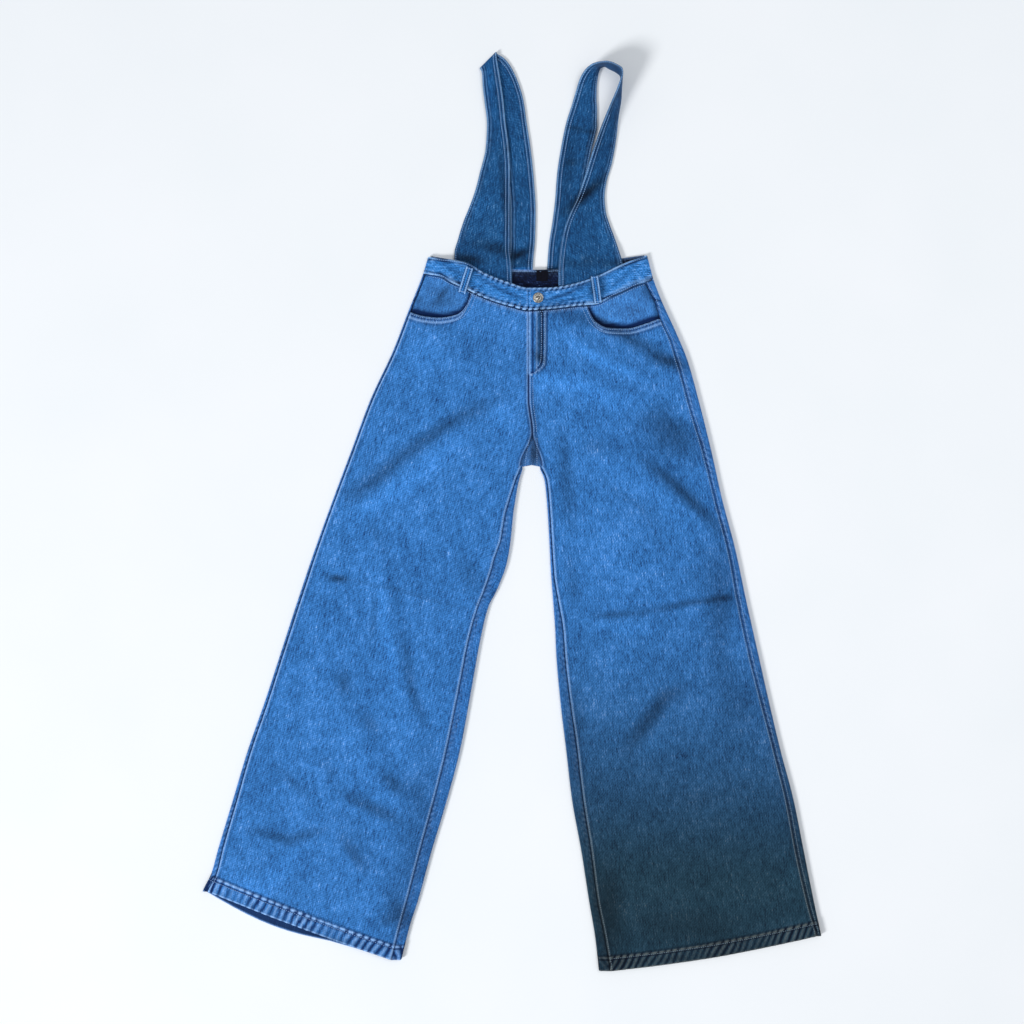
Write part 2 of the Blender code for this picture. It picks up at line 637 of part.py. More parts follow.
def strap_grid(stations):
    rows = []
    for station in stations:
        neck = Vector(station["neck"])
        arm = Vector(station["arm"])
        rows.append([neck.lerp(arm, part) for part in even(4)])
    return rows


def band_height(x, y):
    """Height of the front band's face"""
    leg = LEGS["right"] if x < CENTRE_FRONT else LEGS["left"]
    return lay(leg, True, x, y, BAND_RADIUS, False).z


def loop_grid(ends):
    """Belt loop over the front band, with its ends pressed down"""
    start, end = Vector(ends[0]), Vector(ends[1])
    along = (end - start).normalized()
    across = Vector((-along.y, along.x)) * LOOP_WIDTH / 2
    rows = []
    for part in even(6):
        middle = start.lerp(end, part)
        arch = LOOP_ARCH * math.sin(math.pi * part)
        row = []
        for step in (-1, 0, 1):
            place = middle + across * step
            height = band_height(middle.x, middle.y) + 3 * GAP + LOOP_WALL + arch
            row.append(Vector((place.x, place.y, height)))
        rows.append(row)
    return rows


def label_grid():
    low_x, high_x, low_y, high_y = LABEL_BOX
    z = BAND_LIFT.read("lift", 50) + BAND_WALL + GAP + LABEL_WALL
    return [[Vector((mix(low_x, high_x, across), mix(high_y, low_y, down), z)) for across in even(2)]
            for down in even(2)]


def add_button(collection, surface):
    """Shank button: a dished cap with a rolled rim and a small dome, on its short neck"""
    profile = [(0.0, 3.7), (1.4, 3.5), (2.5, 2.9), (3.2, 2.2), (5.4, 2.2), (6.6, 2.8), (7.7, 2.9),
               (BUTTON_RADIUS, 2.2), (8.3, 1.4), (7.4, 0.9), (3.0, 0.8), (2.8, 0.0), (0.0, 0.0)]
    mesh = bpy.data.meshes.new("waist_button")
    body = bmesh.new()
    verts = [body.verts.new(Vector((radius, 0, height)) * MM) for radius, height in profile]
    for start, end in zip(verts, verts[1:]):
        body.edges.new((start, end))
    body.to_mesh(mesh)
    body.free()
    button = add_object("waist_button", mesh, collection, surface)
    x, y = BUTTON_AT
    button.location = Vector((x, y, band_height(x, y) + 2 * GAP)) * MM
    screw = button.modifiers.new("turn", "SCREW")
    screw.steps = 28
    screw.render_steps = 28
    screw.use_merge_vertices = True
    screw.merge_threshold = 0.00001
    return button


def build():
    for existing in list(bpy.data.objects):
        bpy.data.objects.remove(existing, do_unlink=True)
    collection = bpy.data.collections.new("overalls")
    bpy.context.scene.collection.children.link(collection)
    denim = {
        "front": material("washed denim, front", (0.055, 0.19, 0.50)),
        "back": material("washed denim, back", (0.045, 0.16, 0.42)),
        "band": material("washed denim, waistband", (0.07, 0.22, 0.55)),
        "strap": material("washed denim, straps", (0.03, 0.12, 0.30)),
    }
    nickel = material("aged nickel", (0.55, 0.53, 0.48), 0.35, 1.0)
    patch_cloth = material("dark patch", (0.01, 0.012, 0.03))
    for name, leg in LEGS.items():
        grid, first = front_grid(leg)
        cloth("front_leg_" + name, grid, DENIM, collection, denim["front"], 1, (first, HEM_WALL))
        grid, first = back_grid(leg)
        cloth("back_leg_" + name, grid, DENIM, collection, denim["back"], -1, (first, HEM_WALL))
        cloth("back_yoke_" + name, yoke_grid(leg), DENIM, collection, denim["back"], -1)
        cloth("pocket_facing_" + name, facing_grid(leg), DENIM, collection, denim["back"], 1)
        cloth("waistband_" + name, front_band_grid(leg), BAND_WALL, collection, denim["band"], 1)
        cloth("belt_loop_" + name, loop_grid(LOOPS[name]), LOOP_WALL, collection, denim["band"], 1)
    cloth("waistband_back", back_band_grid(), BAND_WALL, collection, denim["back"], -1)
    cloth("strap_right", strap_grid(RIGHT_STRAP), STRAP_WALL, collection, denim["strap"], offset=0.0)
    cloth("strap_left", strap_grid(LEFT_STRAP), STRAP_WALL, collection, denim["strap"], offset=0.0)
    cloth("back_label", label_grid(), LABEL_WALL, collection, patch_cloth, 1)
    add_button(collection, nickel)


build()
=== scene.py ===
# Wide-leg denim overalls, laid flat: the looks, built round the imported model.
# Shapes are in millimetres and are turned to metres as each mesh is made.
import math
from bisect import bisect_right

import bmesh
import bpy
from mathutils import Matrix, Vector, noise
from mathutils.bvhtree import BVHTree


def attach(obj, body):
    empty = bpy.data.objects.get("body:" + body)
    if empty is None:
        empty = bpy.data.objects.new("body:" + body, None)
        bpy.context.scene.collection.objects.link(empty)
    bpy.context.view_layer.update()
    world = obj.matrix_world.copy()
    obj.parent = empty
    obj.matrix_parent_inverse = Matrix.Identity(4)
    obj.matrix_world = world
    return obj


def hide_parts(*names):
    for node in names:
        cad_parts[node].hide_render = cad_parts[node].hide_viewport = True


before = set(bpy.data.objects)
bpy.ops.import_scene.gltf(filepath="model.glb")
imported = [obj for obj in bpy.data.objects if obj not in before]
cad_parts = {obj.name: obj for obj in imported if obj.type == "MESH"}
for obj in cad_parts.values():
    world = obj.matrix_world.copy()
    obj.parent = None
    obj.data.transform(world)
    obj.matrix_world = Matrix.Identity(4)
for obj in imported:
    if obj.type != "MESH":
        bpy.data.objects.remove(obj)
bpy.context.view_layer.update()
mm = 0.001
print("frame loaded")


# Small helpers

def ease(value):
    value = min(max(value, 0.0), 1.0)
    return value * value * (3 - 2 * value)


def mix(low, high, part):
    return low + (high - low) * part


def even(count):
    return [index / count for index in range(count + 1)]


def hexColor(text):  # sRGB hex to linear
    channels = [int(text[index:index + 2], 16) / 255 for index in (1, 3, 5)]
    return tuple(c / 12.92 if c <= 0.04045 else ((c + 0.055) / 1.055) ** 2.4 for c in channels) + (1.0,)


# Rows of sizes under named columns, with a slope for each that never overshoots
def sizeTable(columns, rows):
    rows = sorted(rows)
    slopes = []
    for index, row in enumerate(rows):
        made = []
        for column in range(len(row)):
            def rise(low, high):
                return (rows[high][column] - rows[low][column]) / (rows[high][0] - rows[low][0])
            if index == 0:
                made.append(rise(0, 1))
            elif index == len(rows) - 1:
                made.append(rise(index - 1, index))
            else:
                down, up = rise(index - 1, index), rise(index, index + 1)
                made.append(0.0 if down * up <= 0 else 2 * down * up / (down + up))
        slopes.append(made)
    return {"names": columns.split(), "rows": rows, "slopes": slopes, "keys": [row[0] for row in rows]}


def readSize(table, name, key):
    column = table["names"].index(name)
    keys, rows, slopes = table["keys"], table["rows"], table["slopes"]
    key = min(max(key, keys[0]), keys[-1])
    index = min(max(bisect_right(keys, key) - 1, 0), len(keys) - 2)
    span = keys[index + 1] - keys[index]
    part = (key - keys[index]) / span
    square, cube = part ** 2, part ** 3
    return ((2 * cube - 3 * square + 1) * rows[index][column]
            + (cube - 2 * square + part) * slopes[index][column] * span
            + (3 * square - 2 * cube) * rows[index + 1][column]
            + (cube - square) * slopes[index + 1][column] * span)


# Materials

def addNode(tree, kind, inputs=None, **settings):
    node = tree.nodes.new("ShaderNode" + kind)
    for name, value in settings.items():
        setattr(node, name, value)
    for socket, value in (inputs or {}).items():
        if isinstance(value, bpy.types.NodeSocket):
            tree.links.new(value, node.inputs[socket])
        else:
            node.inputs[socket].default_value = value
    return node


def startMaterial(name, **shaderValues):
    made = bpy.data.materials.new(name)
    made.use_nodes = True
    shader = made.node_tree.nodes["Principled BSDF"]
    for socket, value in shaderValues.items():
        shader.inputs[socket.replace("_", " ")].default_value = value
    return made, made.node_tree, shader


def ramp(tree, factor, stops):
    node = addNode(tree, "ValToRGB", {0: factor})
    while len(node.color_ramp.elements) < len(stops):
        node.color_ramp.elements.new(0.5)
    for element, (place, color) in zip(node.color_ramp.elements, stops):
        element.position = place
        element.color = color
    return node.outputs[0]


def scaled(tree, vector, across, along, turn=0.0):  # one unit of the pattern for a real size in mm
    node = addNode(tree, "Mapping", {0: vector, 2: (0.0, 0.0, turn)})
    node.inputs[3].default_value = (1 / (across * mm), 1 / (along * mm), 1 / (across * mm))
    return node.outputs[0]


def noiseOf(tree, vector, detail=2.0, roughness=0.55):
    return addNode(tree, "TexNoise", {"Vector": vector, "Scale": 1.0, "Detail": detail,
                                      "Roughness": roughness}).outputs[0]


def weighted(tree, parts, start=0.5):  # start + the sum of weight * (value - 0.5)
    total = None
    for value, weight in parts:
        offset = addNode(tree, "Math", {0: value, 1: weight, 2: -0.5 * weight},
                         operation="MULTIPLY_ADD").outputs[0]
        if total is None:
            total = addNode(tree, "Math", {0: offset, 1: start}, operation="ADD").outputs[0]
        else:
            total = addNode(tree, "Math", {0: total, 1: offset}, operation="ADD").outputs[0]
    return total


def blend(tree, factor, low, high, mode="MIX"):
    node = addNode(tree, "Mix", {0: factor, 6: low, 7: high}, data_type="RGBA", blend_type=mode)
    return node.outputs[2]


def roughen(tree, shader, height, strength, depth):  # the material's fine relief, depth in metres
    bump = addNode(tree, "Bump", {"Height": height, "Strength": strength, "Distance": depth})
    tree.links.new(bump.outputs[0], shader.inputs["Normal"])


denimLook = {
    "yarn": 2.0,          # mm between warp yarns; real ones are 0.6 apart, these show from the camera
    "streak": 9.5,        # mm, how long a pale or dark stretch of one yarn runs
    "fleck": 2.3,         # mm, white weft showing between the yarns, drawn coarser too
    "twill": 3.4,         # mm between the diagonals; real ones are 1 mm apart
    "twillTurn": 0.9,
    "wash": 120.0,        # mm, the patches that stone washing leaves
    "mottle": 16.0,       # mm, the smaller ones
    "yarnTone": {"streak": 0.95, "yarn": 0.85, "fleck": 0.85},     # grows with the cloth's contrast
    "clothTone": {"twill": 0.1, "wash": 0.3, "mottle": 0.45},
    "stops": (0.08, 0.5, 0.72, 1.0),    # tones of the dark, middle, light and pale dye
    "wornTone": {"fleck": 1.6, "streak": 1.0}, "wornStart": 0.85,
    "relief": {"streak": 0.5, "fleck": 0.8, "twill": 0.25, "yarn": 0.35}, "reliefDepth": 0.0009,
    "fade": 1.8,          # how strong the painted light and shade bands are
    "paintedShadowTint": (0.34, 0.235, 0.14, 1.0),   # what the painted shadow leaves of the colour at the hem of the darker leg
    "paintedShadowThreadTint": (0.62, 0.5, 0.36, 1.0),
    "paintedShadowSide": 40.0, "paintedShadowFrom": -70.0, "paintedShadowDepth": 540.0,    # mm: the painted shadow lies beyond x, below y, and is full so far down
}


# Cotton twill, indigo warp over white weft, stone-washed: matt, streaked along the warp, pale where it rubs
def denim(name, dark, middle, light, pale, contrast=1.0):
    made, tree, shader = startMaterial(name, Roughness=0.88, IOR=1.5, Sheen_Weight=0.05, Sheen_Roughness=0.5,
                                       Specular_IOR_Level=0.12)
    look = denimLook
    place = addNode(tree, "TexCoord")
    flat, solid = place.outputs["UV"], place.outputs["Object"]
    twillPlace = scaled(tree, flat, look["twill"] * 6, look["twill"] * 6, look["twillTurn"])
    pattern = {
        "streak": noiseOf(tree, scaled(tree, flat, look["yarn"], look["streak"]), 3.0, 0.65),
        "yarn": noiseOf(tree, scaled(tree, flat, look["yarn"] * 0.55, look["streak"] * 2.2), 2.0, 0.5),
        "fleck": noiseOf(tree, scaled(tree, flat, look["fleck"], look["fleck"] * 1.3), 3.0, 0.7),
        "twill": addNode(tree, "TexWave", {"Vector": twillPlace, "Scale": 1.9, "Distortion": 1.4,
                                           "Detail": 1.0}).outputs[1],
        "wash": noiseOf(tree, scaled(tree, solid, look["wash"], look["wash"]), 2.0),
        "mottle": noiseOf(tree, scaled(tree, solid, look["mottle"], look["mottle"] * 1.6), 3.0),
    }

    def summed(weights, start=0.5):
        return weighted(tree, [(pattern[key], weight) for key, weight in weights], start)

    yarns = [(key, weight * contrast) for key, weight in look["yarnTone"].items()]
    tone = summed(yarns + list(look["clothTone"].items()))
    dyes = [hexColor(text) for text in (dark, middle, light, pale)]
    color = ramp(tree, tone, list(zip(look["stops"], dyes)))
    layer = {key: addNode(tree, "Attribute", attribute_name=key).outputs[2]
             for key in ("wear", "darkDyeAndShade", "shade", "paintedShadow")}
    worn = addNode(tree, "Math", {0: layer["wear"], 1: summed(look["wornTone"].items(), look["wornStart"])},
                   operation="MULTIPLY", use_clamp=True).outputs[0]
    color = blend(tree, worn, color, hexColor(pale))
    # dark dye in seam valleys and pucker troughs, with painted shade in grooves, pocket mouths and beside
    # the loops
    color = blend(tree, layer["darkDyeAndShade"], color, hexColor(dark))
    # painted light and shade bands multiply the colour
    color = blend(tree, 1.0, color, layer["shade"], "MULTIPLY")
    # painted shadow darkens the left leg's lower part
    color = blend(tree, layer["paintedShadow"], color, look["paintedShadowTint"], "MULTIPLY")
    tree.links.new(color, shader.inputs["Base Color"])
    roughen(tree, shader, summed(look["relief"].items()), 0.5, look["reliefDepth"])
    return made


# Spun polyester sewing thread, twisted: a fine oblique glint on each stitch
def thread(name, dark, light):
    made, tree, shader = startMaterial(name, Roughness=0.6, IOR=1.55, Sheen_Weight=0.1)
    place = addNode(tree, "TexCoord").outputs["Object"]
    ply = noiseOf(tree, scaled(tree, place, 0.5, 1.2), 2.0)
    color = ramp(tree, ply, [(0.3, hexColor(dark)), (0.7, hexColor(light))])
    # painted shadow over the left leg's lower part
    paintedShadow = addNode(tree, "Attribute", attribute_name="paintedShadow").outputs[2]
    color = blend(tree, paintedShadow, color, denimLook["paintedShadowThreadTint"], "MULTIPLY")
    tree.links.new(color, shader.inputs["Base Color"])
    roughen(tree, shader, ply, 0.4, 0.0003)
    return made


# Nickel-plated brass, tumbled to an antique finish: soft gloss, darker and rougher in scattered patches
def nickel():
    made, tree, shader = startMaterial("nickelTumbled", Metallic=1.0)
    place = addNode(tree, "TexCoord").outputs["Object"]
    grime = noiseOf(tree, scaled(tree, place, 2.2, 2.2), 4.0, 0.6)
    color = ramp(tree, grime, [(0.3, hexColor("#4d4b47")), (0.52, hexColor("#a3a09a")),
                               (0.8, hexColor("#d9d7d2"))])
    tree.links.new(color, shader.inputs["Base Color"])
    rough = addNode(tree, "MapRange", {0: grime, 1: 0.3, 2: 0.7, 3: 0.5, 4: 0.26})
    tree.links.new(rough.outputs[0], shader.inputs["Roughness"])
    roughen(tree, shader, grime, 0.25, 0.0002)
    return made


# Woven polyester patch, dark: a close plain weave with a slight shine
def patchCloth():
    made, tree, shader = startMaterial("patchPolyesterWoven", Roughness=0.7, IOR=1.55,
                                       Specular_IOR_Level=0.08)
    place = addNode(tree, "TexCoord").outputs["Object"]
    weave = addNode(tree, "TexChecker", {"Vector": place, "Scale": 1 / (0.8 * mm)}).outputs[1]
    fuzz = noiseOf(tree, scaled(tree, place, 3.0, 3.0), 3.0)
    tone = weighted(tree, [(weave, 0.2), (fuzz, 0.8)])
    color = ramp(tree, tone, [(0.2, hexColor("#030307")), (0.8, hexColor("#0d1020"))])
    tree.links.new(color, shader.inputs["Base Color"])
    roughen(tree, shader, tone, 0.4, 0.0003)
    return made


finishes = {
    "front": denim("denimFrontStoneWashed", "#0a275c", "#3373b6", "#468cdc", "#9cc5f7"),
    "back": denim("denimBackStoneWashed", "#092452", "#306db1", "#4085d2", "#93bcf2"),
    "band": denim("denimBandStoneWashed", "#061a42", "#3079c2", "#4a98ea", "#a5cefa", 1.15),
    "facing": denim("denimFacingStoneWashed", "#07224f", "#296cb2", "#3a86d4", "#8bbaf2"),
    "strap": denim("denimStrapStoneWashed", "#06193a", "#194d7f", "#2b689f", "#86b0d8"),
    # near black for the back band's inside: painted shade in the gap between the straps
    "inside": denim("denimInsidePaintedShade", "#010308", "#06112a", "#0f244c", "#7fa5dc", 0.8),
    "thread": thread("threadPolyesterSpun", "#5f94d4", "#a4caf4"),
    "nickel": nickel(),
    "patch": patchCloth(),
}
print("materials made:", len(finishes))


# The flat plan of the cloth, and how it lies

size = {
    "denim": 1.2, "hem": 2.5, "band": 2.4, "strap": 2.2, "loop": 1.8,   # walls
    "gap": 0.3, "foldRadius": 2.9, "hemRadius": 3.8, "bandRadius": 2.75, "bandLap": 1.5,
    "hemDepth": 22.0, "fullness": 0.8, "edgeEase": 26.0, "facingDrop": 1.8, "facingUnderlap": 14.0,
    "centreFront": 26.4, "centreBack": 32.0, "yokeSide": 336.0, "yokeCentre": 284.0, "waistFade": 75.0,
    "centreBend": 6.0, "bendTop": 180.0, "bendDepth": 55.0,     # the seam bends left above the crotch
    "crotchFront": 124.8, "crotchFold": 72.8, "crotchTurn": 16.0, "crotchLead": 6.0,
    "crotchCurls": (0.12, 0.35, 0.58, 0.8),     # how far the inner fold has closed, row by row
}

rightOuter = sizeTable("y x lip", [
    (406, -134, 4), (379, -142, 4), (318, -166, 4), (258, -189, 4), (178, -226, 4), (98, -256, 4),
    (18, -286, 4), (-62, -315, 4.5), (-142, -342, 5), (-222, -368, 5), (-302, -394, 5.5),
    (-382, -422, 6), (-462, -446, 7), (-542, -470, 8), (-578, -480, 9), (-607, -494, 9), (-640, -504, 9)])
rightInner = sizeTable("y x lip", [
    (73, 19, 4), (46, 10.5, 6), (18, 5.5, 10), (-5, 2, 13), (-46, -2, 16), (-82, -8, 22), (-126, -24, 20),
    (-154, -38, 17), (-208, -51, 19), (-269, -62, 20), (-382, -83, 22), (-462, -104, 21),
    (-542, -128, 19), (-622, -150, 18), (-662, -163, 16), (-718, -177, 16)])
leftOuter = sizeTable("y x lip", [
    (408, 216, 14), (370, 226, 16), (336, 239, 12), (303, 254, 16), (274, 267, 15), (242, 280, 18),
    (178, 298, 18), (98, 318, 14), (18, 336, 12), (-62, 357, 12), (-142, 374, 14), (-222, 392, 15),
    (-302, 410, 13), (-382, 429, 11), (-462, 450, 12), (-542, 466, 13), (-622, 482, 11),
    (-678, 494, 8), (-700, 499, 8)])
leftInner = sizeTable("y x lip", [
    (73, 42, 4), (49, 52, 4), (18, 55.5, 4), (-26, 58.5, 4), (-102, 62.5, 5), (-148, 66, 9), (-190, 69, 13),
    (-226, 70.5, 14), (-302, 77, 16), (-382, 86.5, 18), (-462, 96, 18), (-542, 110.5, 16), (-622, 123, 14),
    (-682, 133, 16), (-736, 139, 19)])
bandTop = sizeTable("x y", [
    (-134, 405.5), (-107, 402), (-75, 397), (-45, 380), (-2, 363), (26, 355.5), (61, 356), (94, 361),
    (120, 368.5), (142, 377), (168, 390), (192, 400), (216, 408)])
bandSeam = sizeTable("x y", [
    (-142, 379), (-114, 374), (-101, 366), (-74, 354), (-54, 344), (-26, 333), (-2, 326), (26, 319.5),
    (54, 321), (78, 323.5), (107, 327), (133, 329), (157, 340), (176, 349), (200, 360), (226, 369.5)])
backBandTop = sizeTable("x y", [
    (-134, 408), (-80, 399), (-20, 386), (32, 385), (80, 387), (150, 400), (220, 410)])
backBandSeam = sizeTable("x y", [(-142, 379), (-60, 357), (32, 346), (130, 355), (226, 369.5)])
waistRise = sizeTable("x rise", [
    (-128, 0), (-100, 3.1), (-45, 4.5), (-10, 5.6), (90, 5.6), (125, 4.5), (188, 3.1), (214, 0)])
bandLift = sizeTable("x lift", [(-46, 0), (-20, 2.5), (103, 2.5), (132, 0)])
flyEdge = sizeTable("y width", [
    (216.5, 0), (218, 6), (223.4, 15.8), (228, 21), (234, 25.6), (272, 27), (340, 27)])

legs = {
    "right": dict(side=-1, outer=rightOuter, inner=rightInner, waistTop=405.5, waistSeam=379,
                  hemOuter=-607, hemInner=-716, hemBow=-3.0, backHemBow=-11.0, backHemDrop=8.0, grain=-0.27,
                  pocket=sizeTable("part x y", [
                      (0, -162, 317), (0.2, -143, 311), (0.4, -116, 308), (0.6, -88, 313), (0.75, -74, 325),
                      (0.9, -66, 343), (1, -63, 349)])),
    "left": dict(side=1, outer=leftOuter, inner=leftInner, waistTop=408, waistSeam=369.5,
                 hemOuter=-678, hemInner=-733.5, hemBow=-6.0, backHemBow=-6.0, backHemDrop=0.0, grain=0.17,
                 pocket=sizeTable("part x y", [
                     (0, 233, 306), (0.15, 214, 299), (0.35, 183, 291), (0.55, 154, 292), (0.75, 132, 303),
                     (0.9, 123, 318), (1, 119, 327)])),
}



def foldTable(rows):  # a row for each fold: half its width, its height, points along its crest
    chosen = []
    for half, height, points in rows:
        xs, ys = zip(*points)
        pairs = zip(points, points[1:])
        chosen.append({"half": half, "height": height,
                       "box": (min(xs) - half, max(xs) + half, min(ys) - half, max(ys) + half),
                       "segments": [(a[0], a[1], b[0] - a[0], b[1] - a[1]) for a, b in pairs]})
    return chosen


folds = foldTable([     # soft folds, where the photograph shows them; the first eight are in the solids too
    (34, 4.0, [(-35, 174), (-147, 78), (-259, -2)]),
    (32, 3.4, [(125, 94), (205, 86), (320, -34)]),
    (34, 4.0, [(-229, -18), (-192, -206), (-147, -427)]),
    (32, 3.2, [(-291, -274), (-230, -390), (-150, -491)]),
    (34, 3.4, [(290, -274), (229, -326), (170, -390)]),
    (28, 2.4, [(66, 277), (141, 254), (229, 197)]),
    (28, 2.2, [(58, 202), (120, 178), (181, 146)]),
    (30, -1.0, [(53, 178), (92, 60), (101, -142)]),
    (7, -1.5, [(138, -158), (210, -146), (268, -142), (357, -136)]),   # pressed knee crease
    (15, 1.3, [(150, -176), (250, -158), (350, -150)]),
    (8, -1.4, [(-304, -106), (-272, -110), (-251, -112)]),
    (10, -1.1, [(-171, -142), (-112, -150), (-54, -163)]),
    (16, 1.0, [(-180, -122), (-118, -132), (-62, -142)]),
    (20, -1.2, [(53, 318), (130, 300), (250, 286)]),
    (16, -1.0, [(62, 232), (132, 214), (205, 172)]),
    (22, -1.1, [(112, 60), (180, 20), (262, -70)]),
    (22, -1.1, [(-60, 128), (-130, 62), (-235, -40)]),
    (14, -1.6, [(-419, -510), (-370, -514), (-315, -510)]),
    (18, 1.5, [(-330, -478), (-290, -492), (-240, -500)]),
    (10, -1.3, [(-267, -534), (-250, -550), (-243, -566)]),
    (11, -1.4, [(-203, -646), (-185, -638), (-163, -622)]),
    (20, 1.2, [(-385, -350), (-330, -330), (-290, -345)]),
    (18, 1.2, [(-60, -240), (-100, -330), (-118, -430)]),
    (26, 1.4, [(180, -480), (260, -520), (352, -526)]),
    (20, 1.3, [(380, -420), (330, -470), (300, -540)]),
    (18, -1.0, [(150, -590), (210, -620), (290, -616)]),
    (22, 1.0, [(-120, 262), (-80, 236), (-20, 228)]),
    (12, 0.8, [(-10, 300), (2, 250), (6, 190)]),
    (16, -0.9, [(240, 120), (268, 60), (300, 40)]),
])


foldTaper = 0.12    # share of a half wave that a fold starts and ends short by


def foldHeight(x, y, chosen=folds):
    total = 0.0
    for fold in chosen:
        low, high, near, far = fold["box"]
        if not (low < x < high and near < y < far):
            continue
        best = 0.0
        for index, (startX, startY, alongX, alongY) in enumerate(fold["segments"]):
            part = ((x - startX) * alongX + (y - startY) * alongY) / (alongX ** 2 + alongY ** 2)
            part = min(max(part, 0.0), 1.0)
            distance = math.hypot(x - startX - alongX * part, y - startY - alongY * part)
            if distance < fold["half"]:
                run = (index + part) / len(fold["segments"])
                taper = math.sin(math.pi * mix(foldTaper, 1 - foldTaper, run))
                best = max(best, taper * (1 - ease(distance / fold["half"])))
        total += fold["height"] * best
    return total
